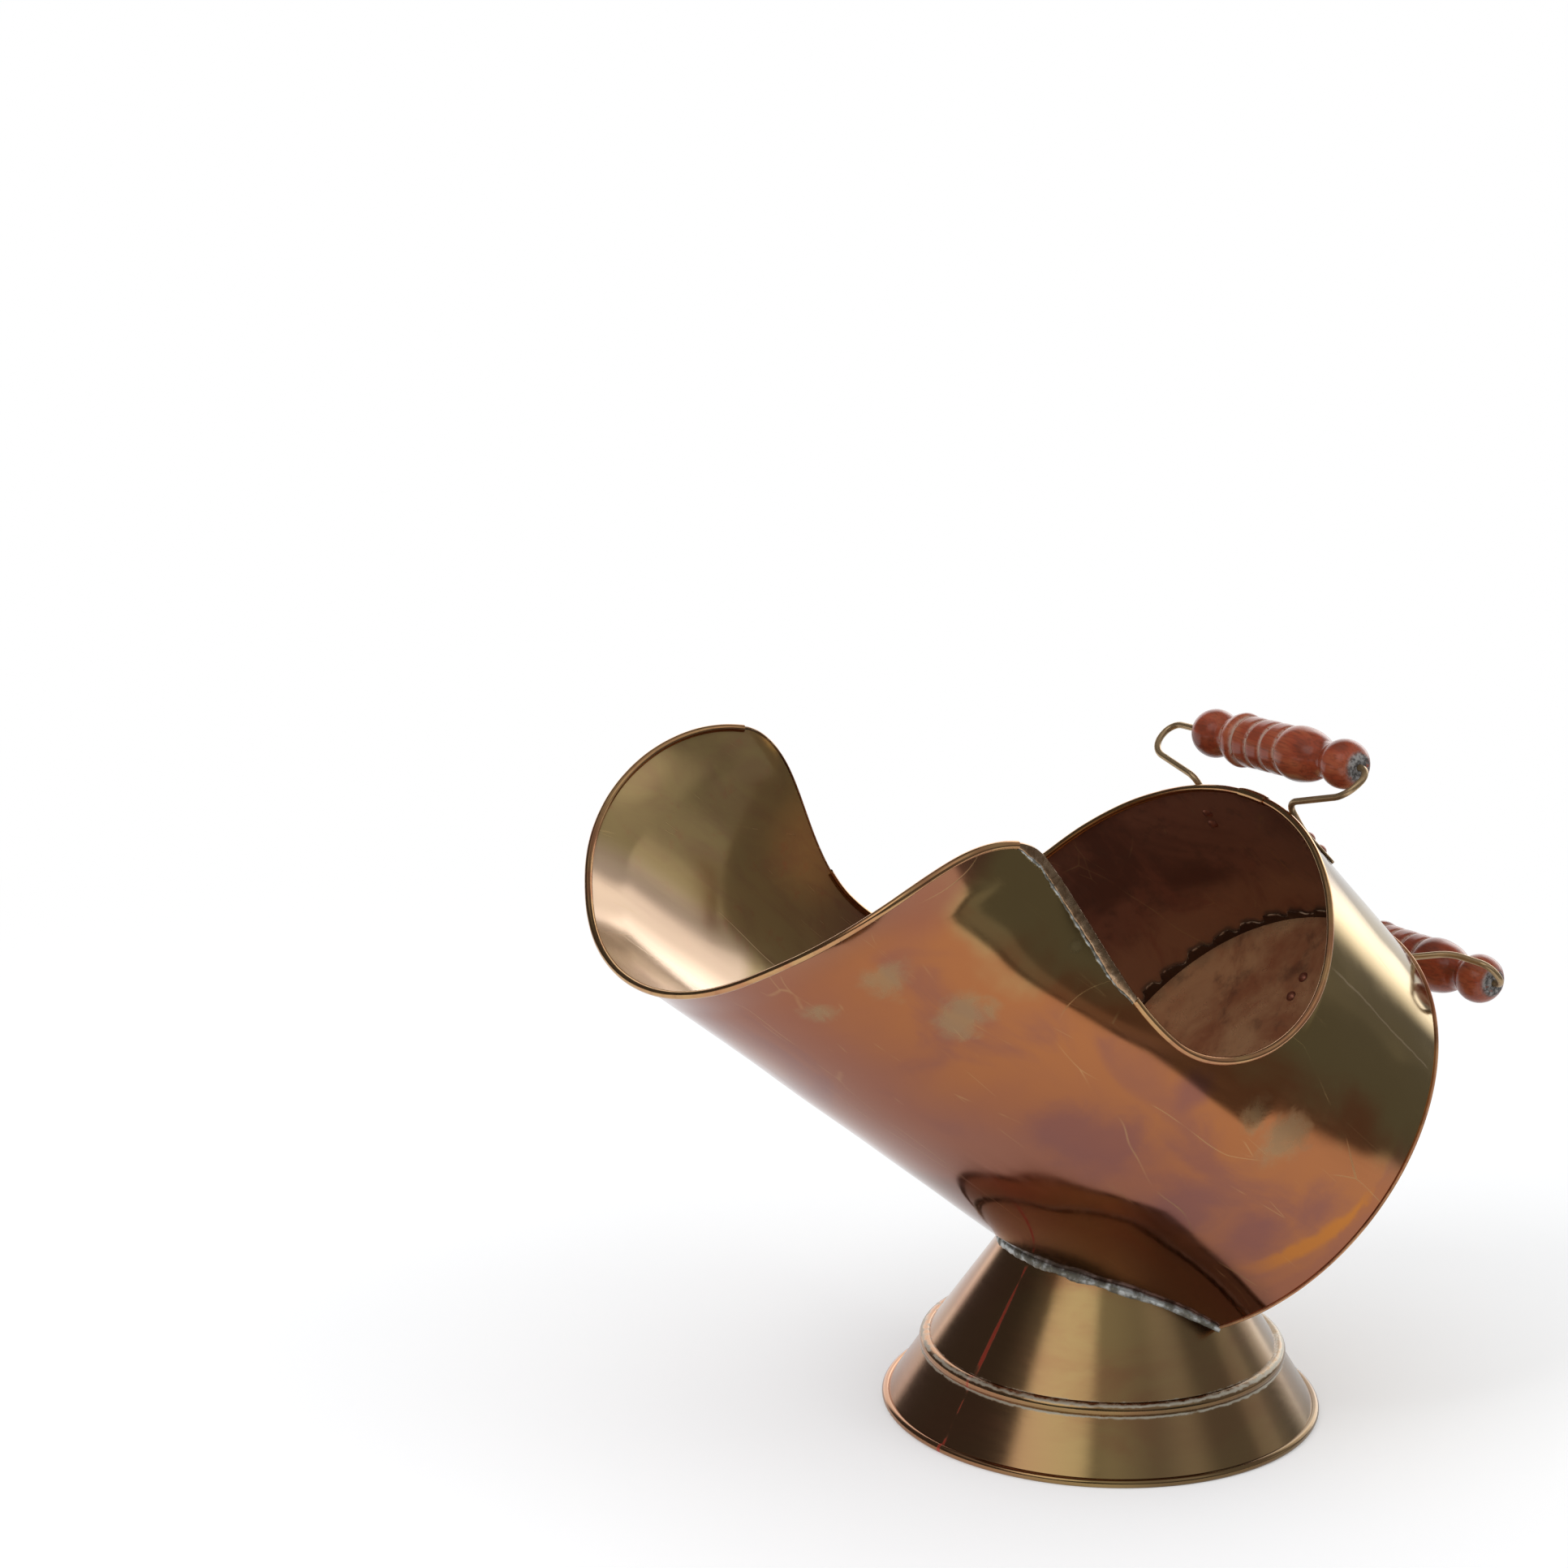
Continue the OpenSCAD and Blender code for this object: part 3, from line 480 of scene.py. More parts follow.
class Graph:
    """The node tree of one material or of the world."""

    def __init__(self, tree: bpy.types.NodeTree) -> None:
        """Starts from an empty tree."""
        self.tree = tree
        tree.nodes.clear()

    def add(self, kind: str, settings: dict | None = None, inputs: dict | None = None,
            out: int | str = 0) -> Value | None:
        """Adds a node, sets its settings first and then its sockets.

        Args:
            kind: Node type.
            settings: Properties such as a Math node's operation.
            inputs: Values, colours or links, by socket name or number.
            out: Name or number of the output that is wanted.

        Returns:
            That output, or nothing if the node has none.
        """
        node = self.tree.nodes.new(kind)
        for key, value in (settings or {}).items():
            setattr(node, key, value)
        for key, value in (inputs or {}).items():
            socket = node.inputs[key]
            if isinstance(value, Value):
                self.tree.links.new(value.socket, socket)
            elif socket.type == "RGBA":
                socket.default_value = (*value, 1.0)
            else:
                socket.default_value = value
        return Value(self, node.outputs[out]) if len(node.outputs) else None

    def vector(self, operation: str, *inputs: Union[Value, Triple], out: str = "Vector") -> Value:
        """Result of a Vector Math node on the inputs."""
        return self.add("ShaderNodeVectorMath", {"operation": operation}, dict(enumerate(inputs)), out)

    def place(self, scale: Triple = (1, 1, 1), turn: Triple = (0, 0, 0), middle: Triple = (0, 0, 0)) -> Value:
        """Object coordinates in millimetres about a middle, turned by degrees and then scaled.

        Args:
            scale: Factors along the turned axes; a small one stretches a pattern.
            turn: Degrees about X, Y and Z.
            middle: Place in millimetres that becomes the origin.

        Returns:
            The coordinates.
        """
        coords = self.add("ShaderNodeTexCoord", out="Object")
        moved = self.vector("ADD", coords, tuple(-METRE * c for c in middle))
        angles = tuple(float(np.radians(a)) for a in turn)
        turned = self.add("ShaderNodeMapping", {"vector_type": "POINT"}, {"Vector": moved, "Rotation": angles})
        return self.vector("MULTIPLY", turned, tuple(c / METRE for c in scale))

    def along(self, vector: Value, aim: Triple) -> Value:
        """How far a vector reaches along a direction of length 1."""
        return self.vector("DOT_PRODUCT", vector, aim, out="Value")

    def length(self, vector: Value) -> Value:
        """Length of a vector."""
        return self.vector("LENGTH", vector, out="Value")

    def field(self, name: str) -> Value:
        """A value stored at the mesh's points."""
        return self.add("ShaderNodeAttribute", {"attribute_name": name}, out="Fac")

    def noise(self, place: Value, size: float, detail: float = 3.0, rough: float = 0.5, bend: float = 0.0,
              out: int | str = 0) -> Value:
        """Cloudy noise between about 0 and 1.

        Args:
            place: Coordinates in millimetres.
            size: Size of the clouds in millimetres.
            detail: How many finer layers are added.
            rough: Strength of the finer layers.
            bend: How much the noise bends itself.
            out: The output wanted: the factor or the colour.

        Returns:
            The noise.
        """
        inputs = {"Vector": place, "Scale": 1.0 / size, "Detail": detail, "Roughness": rough,
                  "Distortion": bend}
        return self.add("ShaderNodeTexNoise", {}, inputs, out)

    def borders(self, place: Value, size: float) -> Value:
        """Distance from the borders between cells of about size millimetres, in cells."""
        inputs = {"Vector": place, "Scale": 1.0 / size}
        return self.add("ShaderNodeTexVoronoi", {"feature": "DISTANCE_TO_EDGE"}, inputs, "Distance")

    def mix(self, share: Number, first: Shade, second: Shade) -> Value:
        """Colour that goes from first to second as share goes from 0 to 1."""
        return self.add("ShaderNodeMix", {"data_type": "RGBA"}, {0: share, 6: first, 7: second}, 2)

    def coats(self, base: Shade, *coats: tuple[Number, Shade]) -> Shade:
        """Colours laid one after another over a base.

        Args:
            base: The colour below.
            coats: The share and the colour of each coat, from the lowest to the topmost.

        Returns:
            The colour that is seen.
        """
        for share, colour in coats:
            base = self.mix(share, base, colour)
        return base

    def bump(self, *heights: tuple[Value, float]) -> Value:
        """Normal of a surface raised by heights.

        Args:
            heights: Each height with its depth in millimetres, from the lowest to the topmost.

        Returns:
            The normal.
        """
        normal = {}
        for height, depth in heights:
            inputs = {"Height": height, "Distance": depth * METRE, "Strength": 1.0} | normal
            normal = {"Normal": self.add("ShaderNodeBump", {}, inputs)}
        return normal["Normal"]

    def rays(self) -> tuple[Value, Value]:
        """Whether a ray comes from the camera, and whether it comes from a mirror."""
        return tuple(self.add("ShaderNodeLightPath", out=f"Is {kind} Ray") for kind in ("Camera", "Glossy"))


def new_material(name: str) -> tuple[Material, Graph]:
    """Makes a material.

    Args:
        name: Its name.

    Returns:
        The material and its empty graph.
    """
    material = bpy.data.materials.new(name)
    material.use_nodes = True
    return material, Graph(material.node_tree)


class Finish:
    """Base of the finishes: makes a material and hands its graph to paint()."""

    name: str

    def paint(self, g: Graph) -> Sockets:
        """Gives the sockets of the shader."""
        raise NotImplementedError

    def make(self) -> Material:
        """Builds the material.

        Returns:
            The material.
        """
        material, g = new_material(self.name)
        shader = g.add("ShaderNodeBsdfPrincipled", {}, self.paint(g))
        g.add("ShaderNodeOutputMaterial", {}, {"Surface": shader})
        return material


def metal(colour: Value, share: Number, rough: Value, normal: Value) -> Sockets:
    """The sockets that every metal finish sets; the roughness is held between 0 and 1."""
    return {"Base Color": colour, "Metallic": share, "Roughness": rough.held(), "Normal": normal}


@dataclass(frozen=True)
class BrassTones:
    """Colours of old brass, as linear light."""

    olive: Colour = (0.38, 0.27, 0.115)
    gold: Colour = (0.55, 0.37, 0.16)
    orange: Colour = (0.36, 0.135, 0.052)
    rosy: Colour = (0.285, 0.108, 0.064)
    purple: Colour = (0.195, 0.080, 0.078)
    ember: Colour = (0.46, 0.165, 0.028)
    umber: Colour = (0.27, 0.115, 0.070)
    chalk: Colour = (0.30, 0.235, 0.125)


TONES = BrassTones()


@dataclass(frozen=True)
class Blot:
    """A round mark on the tube, by its middle and its radius in millimetres."""

    x: float
    y: float
    z: float
    size: float


@dataclass(frozen=True)
class TubeBrass(Finish):
    """Sheet of the tube: olive near the mouth and on the hood, orange and rosy below, with purple
    clouds, glowing streaks at the rear, chalky stains, a painted highlight along a fold in the
    hood's side, painted shade round the foot and a few long scratches; the inside is khaki with a
    painted sheen at the lip and dull red-brown under the hood, with painted shade in dark clouds
    deep inside."""

    name: str = "tube_brass"
    slant: Triple = (0.0, 38.0, 0.0)
    scratch_size: float = 52.0
    scratch_bend: float = 4.5
    crease_angle: float = 59.4
    # painted highlight: pale colour of the glint along a fold in the hood's side
    crease_highlight: Colour = (0.80, 0.60, 0.38)
    # painted shade: dark colour on the tube's underside round the foot, where the foot's reflection and shade
    # fall
    shade_round_foot: Colour = (0.12, 0.055, 0.034)
    khaki: Colour = (0.33, 0.195, 0.10)
    # painted shade: darker colour laid in clouds deep inside the tube
    shade: Colour = (0.12, 0.048, 0.032)
    specks: Colour = (0.13, 0.06, 0.04)
    heel: Colour = (0.40, 0.20, 0.11)
    rust: Colour = (0.40, 0.16, 0.085)
    # painted sheen: pale colour of a highlight low inside the mouth
    painted_sheen: Colour = (0.66, 0.47, 0.34)
    stains: tuple[Blot, ...] = (
        Blot(188, 97, 264, 9), Blot(152, 102, 245, 10), Blot(-6, 123, 170, 12), Blot(12, 125, 184, 8),
        Blot(209, 75, 247, 7), Blot(106, 117, 273, 3), Blot(79, -118, 210, 15), Blot(180, -95, 250, 12))
    bruises: tuple[Blot, ...] = (
        Blot(79, 104, 172, 22), Blot(98, 103, 180, 16), Blot(-8, 106, 118, 17), Blot(-34, 108, 130, 14),
        Blot(30, 100, 135, 20), Blot(46, 122, 200, 10), Blot(40, -112, 150, 26), Blot(130, -90, 190, 22))

    def marks(self, g: Graph, spots: Value, blots: tuple[Blot, ...]) -> Value:
        """Round blots with torn margins, by distance from their middles.

        Args:
            g: The graph.
            spots: Noise that tears the margins.
            blots: Middles and radii.

        Returns:
            1 within a blot and 0 outside.
        """
        total = spots * 0.0
        for blot in blots:
            far = g.length(g.place(middle=(blot.x, blot.y, blot.z))) + (spots - 0.5) * blot.size * 2.6
            total = total.larger(far.over(blot.size * 1.5, blot.size * 0.3))
        return total

    def outer_face(self, g: Graph, along: Value, angle: Value) -> tuple[Value, Value]:
        """Paints the outer face: its level round the tube, moved by noise, chooses the main tone.

        Args:
            g: The graph.
            along: Distance along the tube.
            angle: Angle from the top line.

        Returns:
            The colour, and the share of stains.
        """
        place = g.place()
        clouds = g.noise(place, 95, 4, 0.55, 0.6)
        wisps = g.noise(g.place((0.6, 1, 1.3), self.slant), 46, 4, 0.5, 1.0)
        spots = g.noise(place, 13, 4, 0.62, 0.4)
        waver, grit = wisps - 0.5, spots - 0.5
        level = angle - along.over(170, 250) * 13 + (clouds - 0.5) * 40 + waver * 22
        bruise = self.marks(g, wisps * 0.6 + spots * 0.4, self.bruises)
        slant = along - (angle - 88) * 0.8 + waver * 16 + grit * 8
        glowing = slant.over(9, 3) * slant.over(-8, -2) * angle.over(82, 92) * angle.over(130, 114)
        streak = (along + waver * 34 + grit * 10).over(12, 6) * angle.over(72, 90)
        # painted highlight: a thin pale line along a fold in the hood's side
        crease_highlight = abs(angle - self.crease_angle + waver * 3 + grit).over(0.34, 0.14)
        crease_highlight = crease_highlight * along.over(100, 88) * along.over(4, 9) * wisps.over(0.30, 0.44)
        lip = (along + (clouds - 0.5) * 30).over(285, 305) * angle.over(122, 104)
        # painted shade round the foot on the tube's underside
        foot_shade = (g.length(g.place((0.75, 1, 0))) + grit * 8).over(97, 86)
        stain = self.marks(g, spots, self.stains)
        colour = g.coats(
            TONES.olive,
            (level.over(74, 92), TONES.orange),
            (level.over(100, 138), TONES.rosy),
            (wisps.over(0.48, 0.72) * level.over(88, 108) * 0.45, TONES.purple),
            (bruise * 0.62, TONES.purple),
            (glowing * 0.8, TONES.ember),
            (streak * 0.7, TONES.rosy),
            (crease_highlight * 0.55, self.crease_highlight),
            (lip * 0.8, TONES.rosy),
            (foot_shade * 0.5, self.shade_round_foot),
            (stain * 0.52, TONES.chalk),
        )
        return colour, stain

    def inner_face(self, g: Graph, along: Value, angle: Value) -> tuple[Value, Value]:
        """Paints the inner face: khaki outside the hood and umber deep inside, in clouds, with painted shade
        deep inside and a painted sheen low down near the lip.

        Args:
            g: The graph.
            along: Distance along the tube.
            angle: Angle from the top line.

        Returns:
            The colour, and how deep inside a place is.
        """
        clouds = g.noise(g.place(), 70, 4, 0.55, 0.6)
        wisps = g.noise(g.place((0.5, 1, 1.4), self.slant), 28, 5, 0.6, 1.2)
        small = g.noise(g.place(), 9, 5, 0.65)
        deep = (along + (clouds - 0.5) * 60).over(215, 110)
        # painted sheen: a highlight low inside the mouth, near the lip
        painted_sheen = angle.over(120, 132) * (along + (wisps - 0.5) * 12).over(222, 236)
        colour = g.coats(
            TONES.olive,
            (wisps.over(0.42, 0.68) * 0.6, self.khaki),
            (deep, TONES.umber),
            # painted shade in dark clouds deep inside the tube
            (clouds.over(0.60, 0.40) * deep * 0.85, self.shade),
            ((small + wisps * 0.5).over(0.74, 0.92) * deep * 0.5, self.specks),
            ((along + (wisps - 0.5) * 26).over(42, 20) * 0.8, self.heel),
            (small.over(0.56, 0.72) * (1.0 - deep) * 0.35, self.rust),
            (painted_sheen * 0.75, self.painted_sheen),
            (deep * wisps.over(0.5, 0.7) * 0.6, TONES.rosy),
        )
        return colour, deep

    def paint(self, g: Graph) -> Sockets:
        """Joins both faces and adds scratches, fingermarks and gentle dents.

        Args:
            g: The graph.

        Returns:
            The sockets of the shader.
        """
        along, angle, inside = (g.field(name) for name in ("along", "angle", "inside"))
        outer, stain = self.outer_face(g, along, angle)
        inner, deep = self.inner_face(g, along, angle)
        place = g.place()
        sway = g.noise(place, 55, 1.0, out="Color")
        bent = g.vector("MULTIPLY_ADD", sway, (self.scratch_bend,) * 3, g.place((0.10, 1, 0.35), (18, 30, 12)))
        lines = g.borders(bent, self.scratch_size).over(0.0, 0.0028)
        scratch = (1.0 - lines) * g.noise(place, 38, 2).over(0.46, 0.62)
        hairs = g.borders(g.place((0.03, 1, 0.4), (70, 20, 35)), 9).over(0.0, 0.012)
        hair = (1.0 - hairs) * g.noise(place, 21, 2).over(0.54, 0.66)
        smears = g.noise(g.place((0.3, 1, 1), self.slant), 22, 5, 0.6, 0.8)
        colour = g.coats(outer, (inside, inner), (scratch * 0.32 + hair * 0.25, TONES.gold))
        rough = 0.085 + smears.over(0.35, 0.8) * 0.10 + stain * (1.0 - inside) * 0.22
        rough = rough + scratch * 0.2 + hair * 0.1 + inside * 0.05 + deep * inside * 0.16
        normal = g.bump((scratch * -1.0, 0.01), (g.noise(place, 85, 2, 0.4), 0.55),
                        (g.noise(place, 2.4, 3, 0.6), 0.0025))
        return metal(colour, 1.0 - inside * (deep * 0.18 + 0.32), rough, normal)


@dataclass(frozen=True)
class FootBrass(Finish):
    """Brushed brass of the foot: fine lines round it, faint clouds, a painted reddish reflection on
    the side of the lip and painted shade in brown on the side of the heel, one thin red streak that
    is a painted reflection, and pale residue along the joints of its middle band."""

    name: str = "foot_brass"
    band_z: float = 29.8
    band_half: float = 2.7
    # way towards the side with painted shade; the other side gets a painted reddish reflection
    to_shaded_side: Triple = (-0.810, 0.587, 0.0)
    # ways along and across the thin red streak, a painted reflection
    to_reflected_streak: Triple = (0.988, 0.158, 0.0)
    off_reflected_streak: Triple = (0.158, -0.988, 0.0)
    tone: Colour = (0.33, 0.225, 0.095)
    other: Colour = (0.30, 0.165, 0.075)
    # painted reflection: reddish colour on the side of the lip
    red: Colour = (0.37, 0.175, 0.100)
    # painted shade: darker brown on the side of the heel
    brown: Colour = (0.14, 0.088, 0.046)
    # painted reflection: colour of the thin red streak
    streak: Colour = (0.42, 0.025, 0.018)
    residue: Colour = (0.42, 0.40, 0.33)

    def paint(self, g: Graph) -> Sockets:
        """Lines from noise that changes quickly with height and slowly round the foot.

        Args:
            g: The graph.

        Returns:
            The sockets of the shader.
        """
        place = g.place()
        lines = g.noise(g.place((0.035, 0.035, 1)), 0.9, 3, 0.6)
        clouds = g.noise(g.place((0.5, 0.5, 1)), 26, 4, 0.55, 0.5)
        gap = abs(g.along(place, UP) - self.band_z) - self.band_half + (g.noise(place, 4, 3) - 0.5) * 1.6
        pale = gap.over(-0.9, -0.1) * gap.over(0.9, 0.1) * g.noise(place, 12, 2).over(0.25, 0.42)
        # how far a place lies towards the side with painted shade
        toward_shade = g.along(place, self.to_shaded_side)
        # painted reflection: a thin red streak on the side of the lip, broken by noise
        streak = (abs(g.along(place, self.off_reflected_streak)) + (clouds - 0.5) * 3).over(1.2, 0.5)
        streak = streak * g.along(place, self.to_reflected_streak).over(0, 20) * g.noise(place, 9, 2).over(0.34, 0.52)
        colour = g.coats(
            self.tone,
            (clouds.over(0.40, 0.70), self.other),
            # painted reddish reflection on one side and painted brown shade on the other
            (toward_shade.over(-5, -60) * 0.7, self.red),
            (toward_shade.over(0, 34) * 0.75, self.brown),
            # painted reflection as a thin red streak
            (streak * 0.8, self.streak),
            (pale * 0.8, self.residue),
        )
        rough = 0.17 + (lines - 0.5) * 0.10 + (clouds - 0.5) * 0.10 + pale * 0.3
        return metal(colour, 1.0 - pale * 0.5 - streak * 0.4, rough, g.bump((clouds, 0.12), (lines, 0.006)))


@dataclass(frozen=True)
class PlateBrass(Finish):
    """Back plate: inside brown and yellow clouds and soot, with nearly black tabs whose tips carry a
    painted highlight; outside plain old brass."""

    name: str = "plate_brass"
    brown: Colour = (0.39, 0.150, 0.072)
    yellow: Colour = (0.60, 0.325, 0.165)
    soot: Colour = (0.12, 0.050, 0.030)
    tan: Colour = (0.36, 0.19, 0.09)
    black: Colour = (0.045, 0.024, 0.017)
    # painted highlight: pale colour along the tabs' tips
    pale: Colour = (0.62, 0.45, 0.30)

    def paint(self, g: Graph) -> Sockets:
        """Clouds of two sizes; the stored tab height goes from 0 on the disc to 1 at a tab's tip.

        Args:
            g: The graph.

        Returns:
            The sockets of the shader.
        """
        place = g.place()
        tab, outer = g.field("tab"), g.field("outer")
        clouds = g.noise(place, 48, 5, 0.6, 0.6)
        small = g.noise(place, 15, 5, 0.62, 0.2)
        on_tab = tab.over(0.02, 0.12)
        # painted highlight along the tabs' tips, broken up by noise
        tip = tab.over(0.62, 0.95) * g.noise(place, 5, 3).over(0.46, 0.60)
        colour = g.coats(
            self.brown,
            (clouds.over(0.36, 0.62), self.yellow),
            (small.over(0.50, 0.76) * 0.7, self.soot),
            (outer * 0.85, g.mix(clouds.over(0.40, 0.62), TONES.olive, self.tan)),
            (on_tab * 0.93, self.black),
            (tip * 0.8, self.pale),
        )
        rough = 0.30 + (small - 0.5) * 0.25 + on_tab * 0.15 - outer * 0.10
        return metal(colour, 0.60 + outer * 0.4, rough, g.bump((clouds, 0.6), (small, 0.05)))


@dataclass(frozen=True)
class AgedBrass(Finish):
    """Plain old brass or copper of edges, strips, wire and rivets: two tones in clouds, dirt in
    specks and a fine grain."""

    name: str
    tone: Colour
    other: Colour
    cloud: float
    dirt_share: float
    rough: float
    dirt: Colour = TONES.umber
    grain: float = 0.003
    swell: float = 0.05
    share: float = 1.0

    def paint(self, g: Graph) -> Sockets:
        """Mixes tone, other tone and dirt by noise of two sizes.

        Args:
            g: The graph.

        Returns:
            The sockets of the shader.
        """
        place = g.place()
        clouds = g.noise(place, self.cloud, 4, 0.6, 0.8)
        specks = g.noise(place, self.cloud / 7, 4, 0.65)
        dirty = specks.over(0.48, 0.82) * self.dirt_share
        colour = g.coats(self.tone, (clouds.over(0.38, 0.68), self.other), (dirty, self.dirt))
        rough = self.rough + (clouds - 0.5) * 0.10 + specks.over(0.5, 0.8) * 0.10
        normal = g.bump((clouds, self.swell), (g.noise(place, 1.6, 3, 0.6), self.grain))
        return metal(colour, self.share, rough, normal)


@dataclass(frozen=True)
class SoftSolder(Finish):
    """Grey soft solder with dull and bright places and a little green in specks."""

    name: str = "solder"
    bright: Colour = (0.44, 0.45, 0.44)
    dull: Colour = (0.15, 0.14, 0.115)
    green: Colour = (0.26, 0.25, 0.17)

    def paint(self, g: Graph) -> Sockets:
        """Mixes the greys by noise; dull places are rough.

        Args:
            g: The graph.

        Returns:
            The sockets of the shader.
        """
        place = g.place()
        clouds = g.noise(place, 6, 4, 0.6)
        specks = g.noise(place, 1.6, 3, 0.6)
        greenish = specks.over(0.55, 0.7) * 0.6
        colour = g.coats(self.bright, (clouds.over(0.38, 0.58), self.dull), (greenish, self.green))
        return metal(colour, 0.85, 0.34 + clouds.over(0.35, 0.7) * 0.3, g.bump((specks, 0.12)))


@dataclass(frozen=True)
class TurnedWood(Finish):
    """Reddish varnished wood: grain along the grip, dust and worn varnish at the grooves, grey end."""

    name: str
    varnish: Colour = (0.232, 0.042, 0.017)
    amber: Colour = (0.330, 0.105, 0.046)
    dark: Colour = (0.085, 0.022, 0.012)
    dust: Colour = (0.50, 0.40, 0.33)
    grey: Colour = (0.24, 0.23, 0.22)
    crack: Colour = (0.035, 0.03, 0.028)
    gloss: float = 0.20

    def paint(self, g: Graph) -> Sockets:
        """Streaks from noise stretched along the grip; wear and end grain from stored values.

        Args:
            g: The graph.

        Returns:
            The sockets of the shader.
        """
        place = g.place()
        streaks = g.noise(g.place((1, 0.06, 1)), 1.1, 4, 0.55, 0.2)
        clouds = g.noise(g.place((1, 0.45, 1)), 13, 3, 0.5)
        bare = (g.field("worn") * g.noise(place, 1.9, 4, 0.7).over(0.38, 0.50)).held()
        cut = (g.field("end") * g.noise(place, 3, 3).over(0.28, 0.42)).held()
        colour = g.coats(
            self.varnish,
            (clouds.over(0.42, 0.72) * 0.7, self.amber),
            (streaks.over(0.42, 0.74) * 0.55, self.dark),
            (clouds.over(0.46, 0.30) * 0.5, self.dark),
            (bare * 0.75, self.dust),
            (cut, g.mix(g.noise(place, 2.2, 4, 0.7).over(0.36, 0.60) * 0.9, self.grey, self.crack)),
        )
        rough = 0.26 + bare * 0.3 + cut * 0.45 + (clouds - 0.5) * 0.1
        coat = (self.gloss - bare * self.gloss - cut * self.gloss).held()
        return {"Base Color": colour, "Roughness": rough.held(), "Normal": g.bump((streaks, 0.02)),
                "Coat Weight": coat, "Coat Roughness": 0.12, "Specular IOR Level": 0.25}


# ---------- the sheet-metal body ----------


@dataclass
class SheetBody:
    """The tube with its back plate, wired edges, folded side strips and their solder."""

    ribs: int = 384
    rows: int = 60
    crowding: float = 1.5
    dent: float = 0.35
    dent_len: float = 150.0
    dent_start: float = 30.0
    bead_d: float = 3.6
    bead_corners: int = 20
    bead_waver: float = 0.05
    roll_step: float = 0.10
    roll_angle: float = 50.0
    roll_spread: float = 28.0
    sleeve_d: float = 5.0
    sleeve_half_angle: float = 4.5
    sleeve_pinch: float = 0.12
    hood_steps: int = 220
    lip_steps: int = 200
    sleeve_steps: int = 40
    hem_steps: int = 160
    hem_from: float = 2.2
    corner: float = 3.0
    hem_w: float = 3.6
    hem_t: float = 1.0
    hem_grows: float = 16.0
    hem_ebbs: float = 9.0
    hem_end: float = 0.45
    lap_gap: float = 0.2
    hem_solder_d: float = 1.3
    hem_solder_corners: int = 12
    plate_edge: float = 1.0
    plate_corners: int = 360
    plate_waver: float = 0.3
    waver_len: float = 130.0
    waver_margin: float = 12.0
    waver_fade: float = 50.0
    plate_rings: tuple[float, ...] = (0.5, 20.0, 45.0, 70.0, 95.0)
    rim_w: float = 3.0
    tab_count: int = 44
    tab_steps: int = 16
    tab_len: float = 7.0
    tab_low: float = 0.3
    tab_share: float = 0.86
    notch_w: float = 0.16
    notch_height: float = 0.38
    tab_round: float = 0.3
    tab_slope: float = 0.84
    tab_heights: tuple[float, ...] = (0.2, 0.5, 1.0, 1.0, 0.5, 0.2)

    def dented(self, s: Array, radius: Array, angle: Array) -> Array:
        """Places of the sheet with its radius moved by smooth dents that fade out at the back plate.

        Args:
            s: Distances along the tube.
            radius: Radii.
            angle: Signed angles.

        Returns:
            Points in the part's frame.
        """
        x, y = s / self.dent_len, sin_deg(angle) * 0.7 + cos_deg(angle) * 0.4
        dents = self.dent * wander(x, y, 5, 4) * soft_step(s / self.dent_start)
        return TUBE.place_round(s, radius + dents, angle)

    def build_tube(self, finish: Material) -> None:
        """Tube sheet: for each line across the sheet one closed outline, out along the outer face
        and back along the inner one, and all of them joined round the tube.

        Args:
            finish: Material of the sheet.
        """
        q = np.linspace(-5, 5, self.ribs, endpoint=False)[:, None]
        out = 1 - (1 - np.linspace(0, 1, self.rows)) ** self.crowding
        w = np.concatenate([out, out[::-1]])[None, :]
        depth = np.repeat([0.0, TUBE.sheet_t], self.rows)[None, :]
        s, radius, angle = TUBE.sheet(q, w, depth)
        fields = {"along": s, "angle": np.abs(angle), "inside": depth / TUBE.sheet_t + 0 * q}
        make_piece("tube", "body_shell", [skin(self.dented(s, radius, angle), endless=True)], Body.SCUTTLE,
                   finish, fields)

    def edge_frame(self, q: Array) -> tuple[Array, Array, Array]:
        """Frame of the sheet's edge, from differences of nearby places of the sheet.

        Args:
            q: Places of the edge.

        Returns:
            The middle of the sheet there, the way across the sheet inwards, and the way out.
        """
        half, step, near = TUBE.sheet_t / 2, 0.004, 0.01
        s, radius, angle = TUBE.sheet(q, 1.0, half)
        here = self.dented(s, radius, angle)
        inner = np.clip(np.abs(q), step, 5 - step) * np.where(q < 0, -1, 1)
        along = unit(TUBE.sheet_place(inner + step, 1.0, half) - TUBE.sheet_place(inner - step, 1.0, half))
        back = TUBE.sheet_place(q, 1 - near, half) - TUBE.sheet_place(q, 1 + near, half)
        across = unit(back - along * (along * back).sum(-1, keepdims=True))
        normal = np.cross(across, along)
        outwards = here - TUBE.place(s, 0 * s, 0 * s)
        return here, across, normal * np.sign((normal * outwards).sum(-1, keepdims=True))

    def strip(self, q: Array, outline: Outline) -> Skin:
        """Solid carried along the edge: at each place its outline, laid out across and outwards.

        Args:
            q: Places of the edge.
            outline: Takes the distance travelled (n x 1) and gives offsets across and outwards,
                each n x corners.

        Returns:
            What skin() gives.
        """
        here, across, normal = self.edge_frame(q)
        first, second = outline(travel(here)[:, None])
        return skin(here[:, None] + across[:, None] * first[..., None] + normal[:, None] * second[..., None])

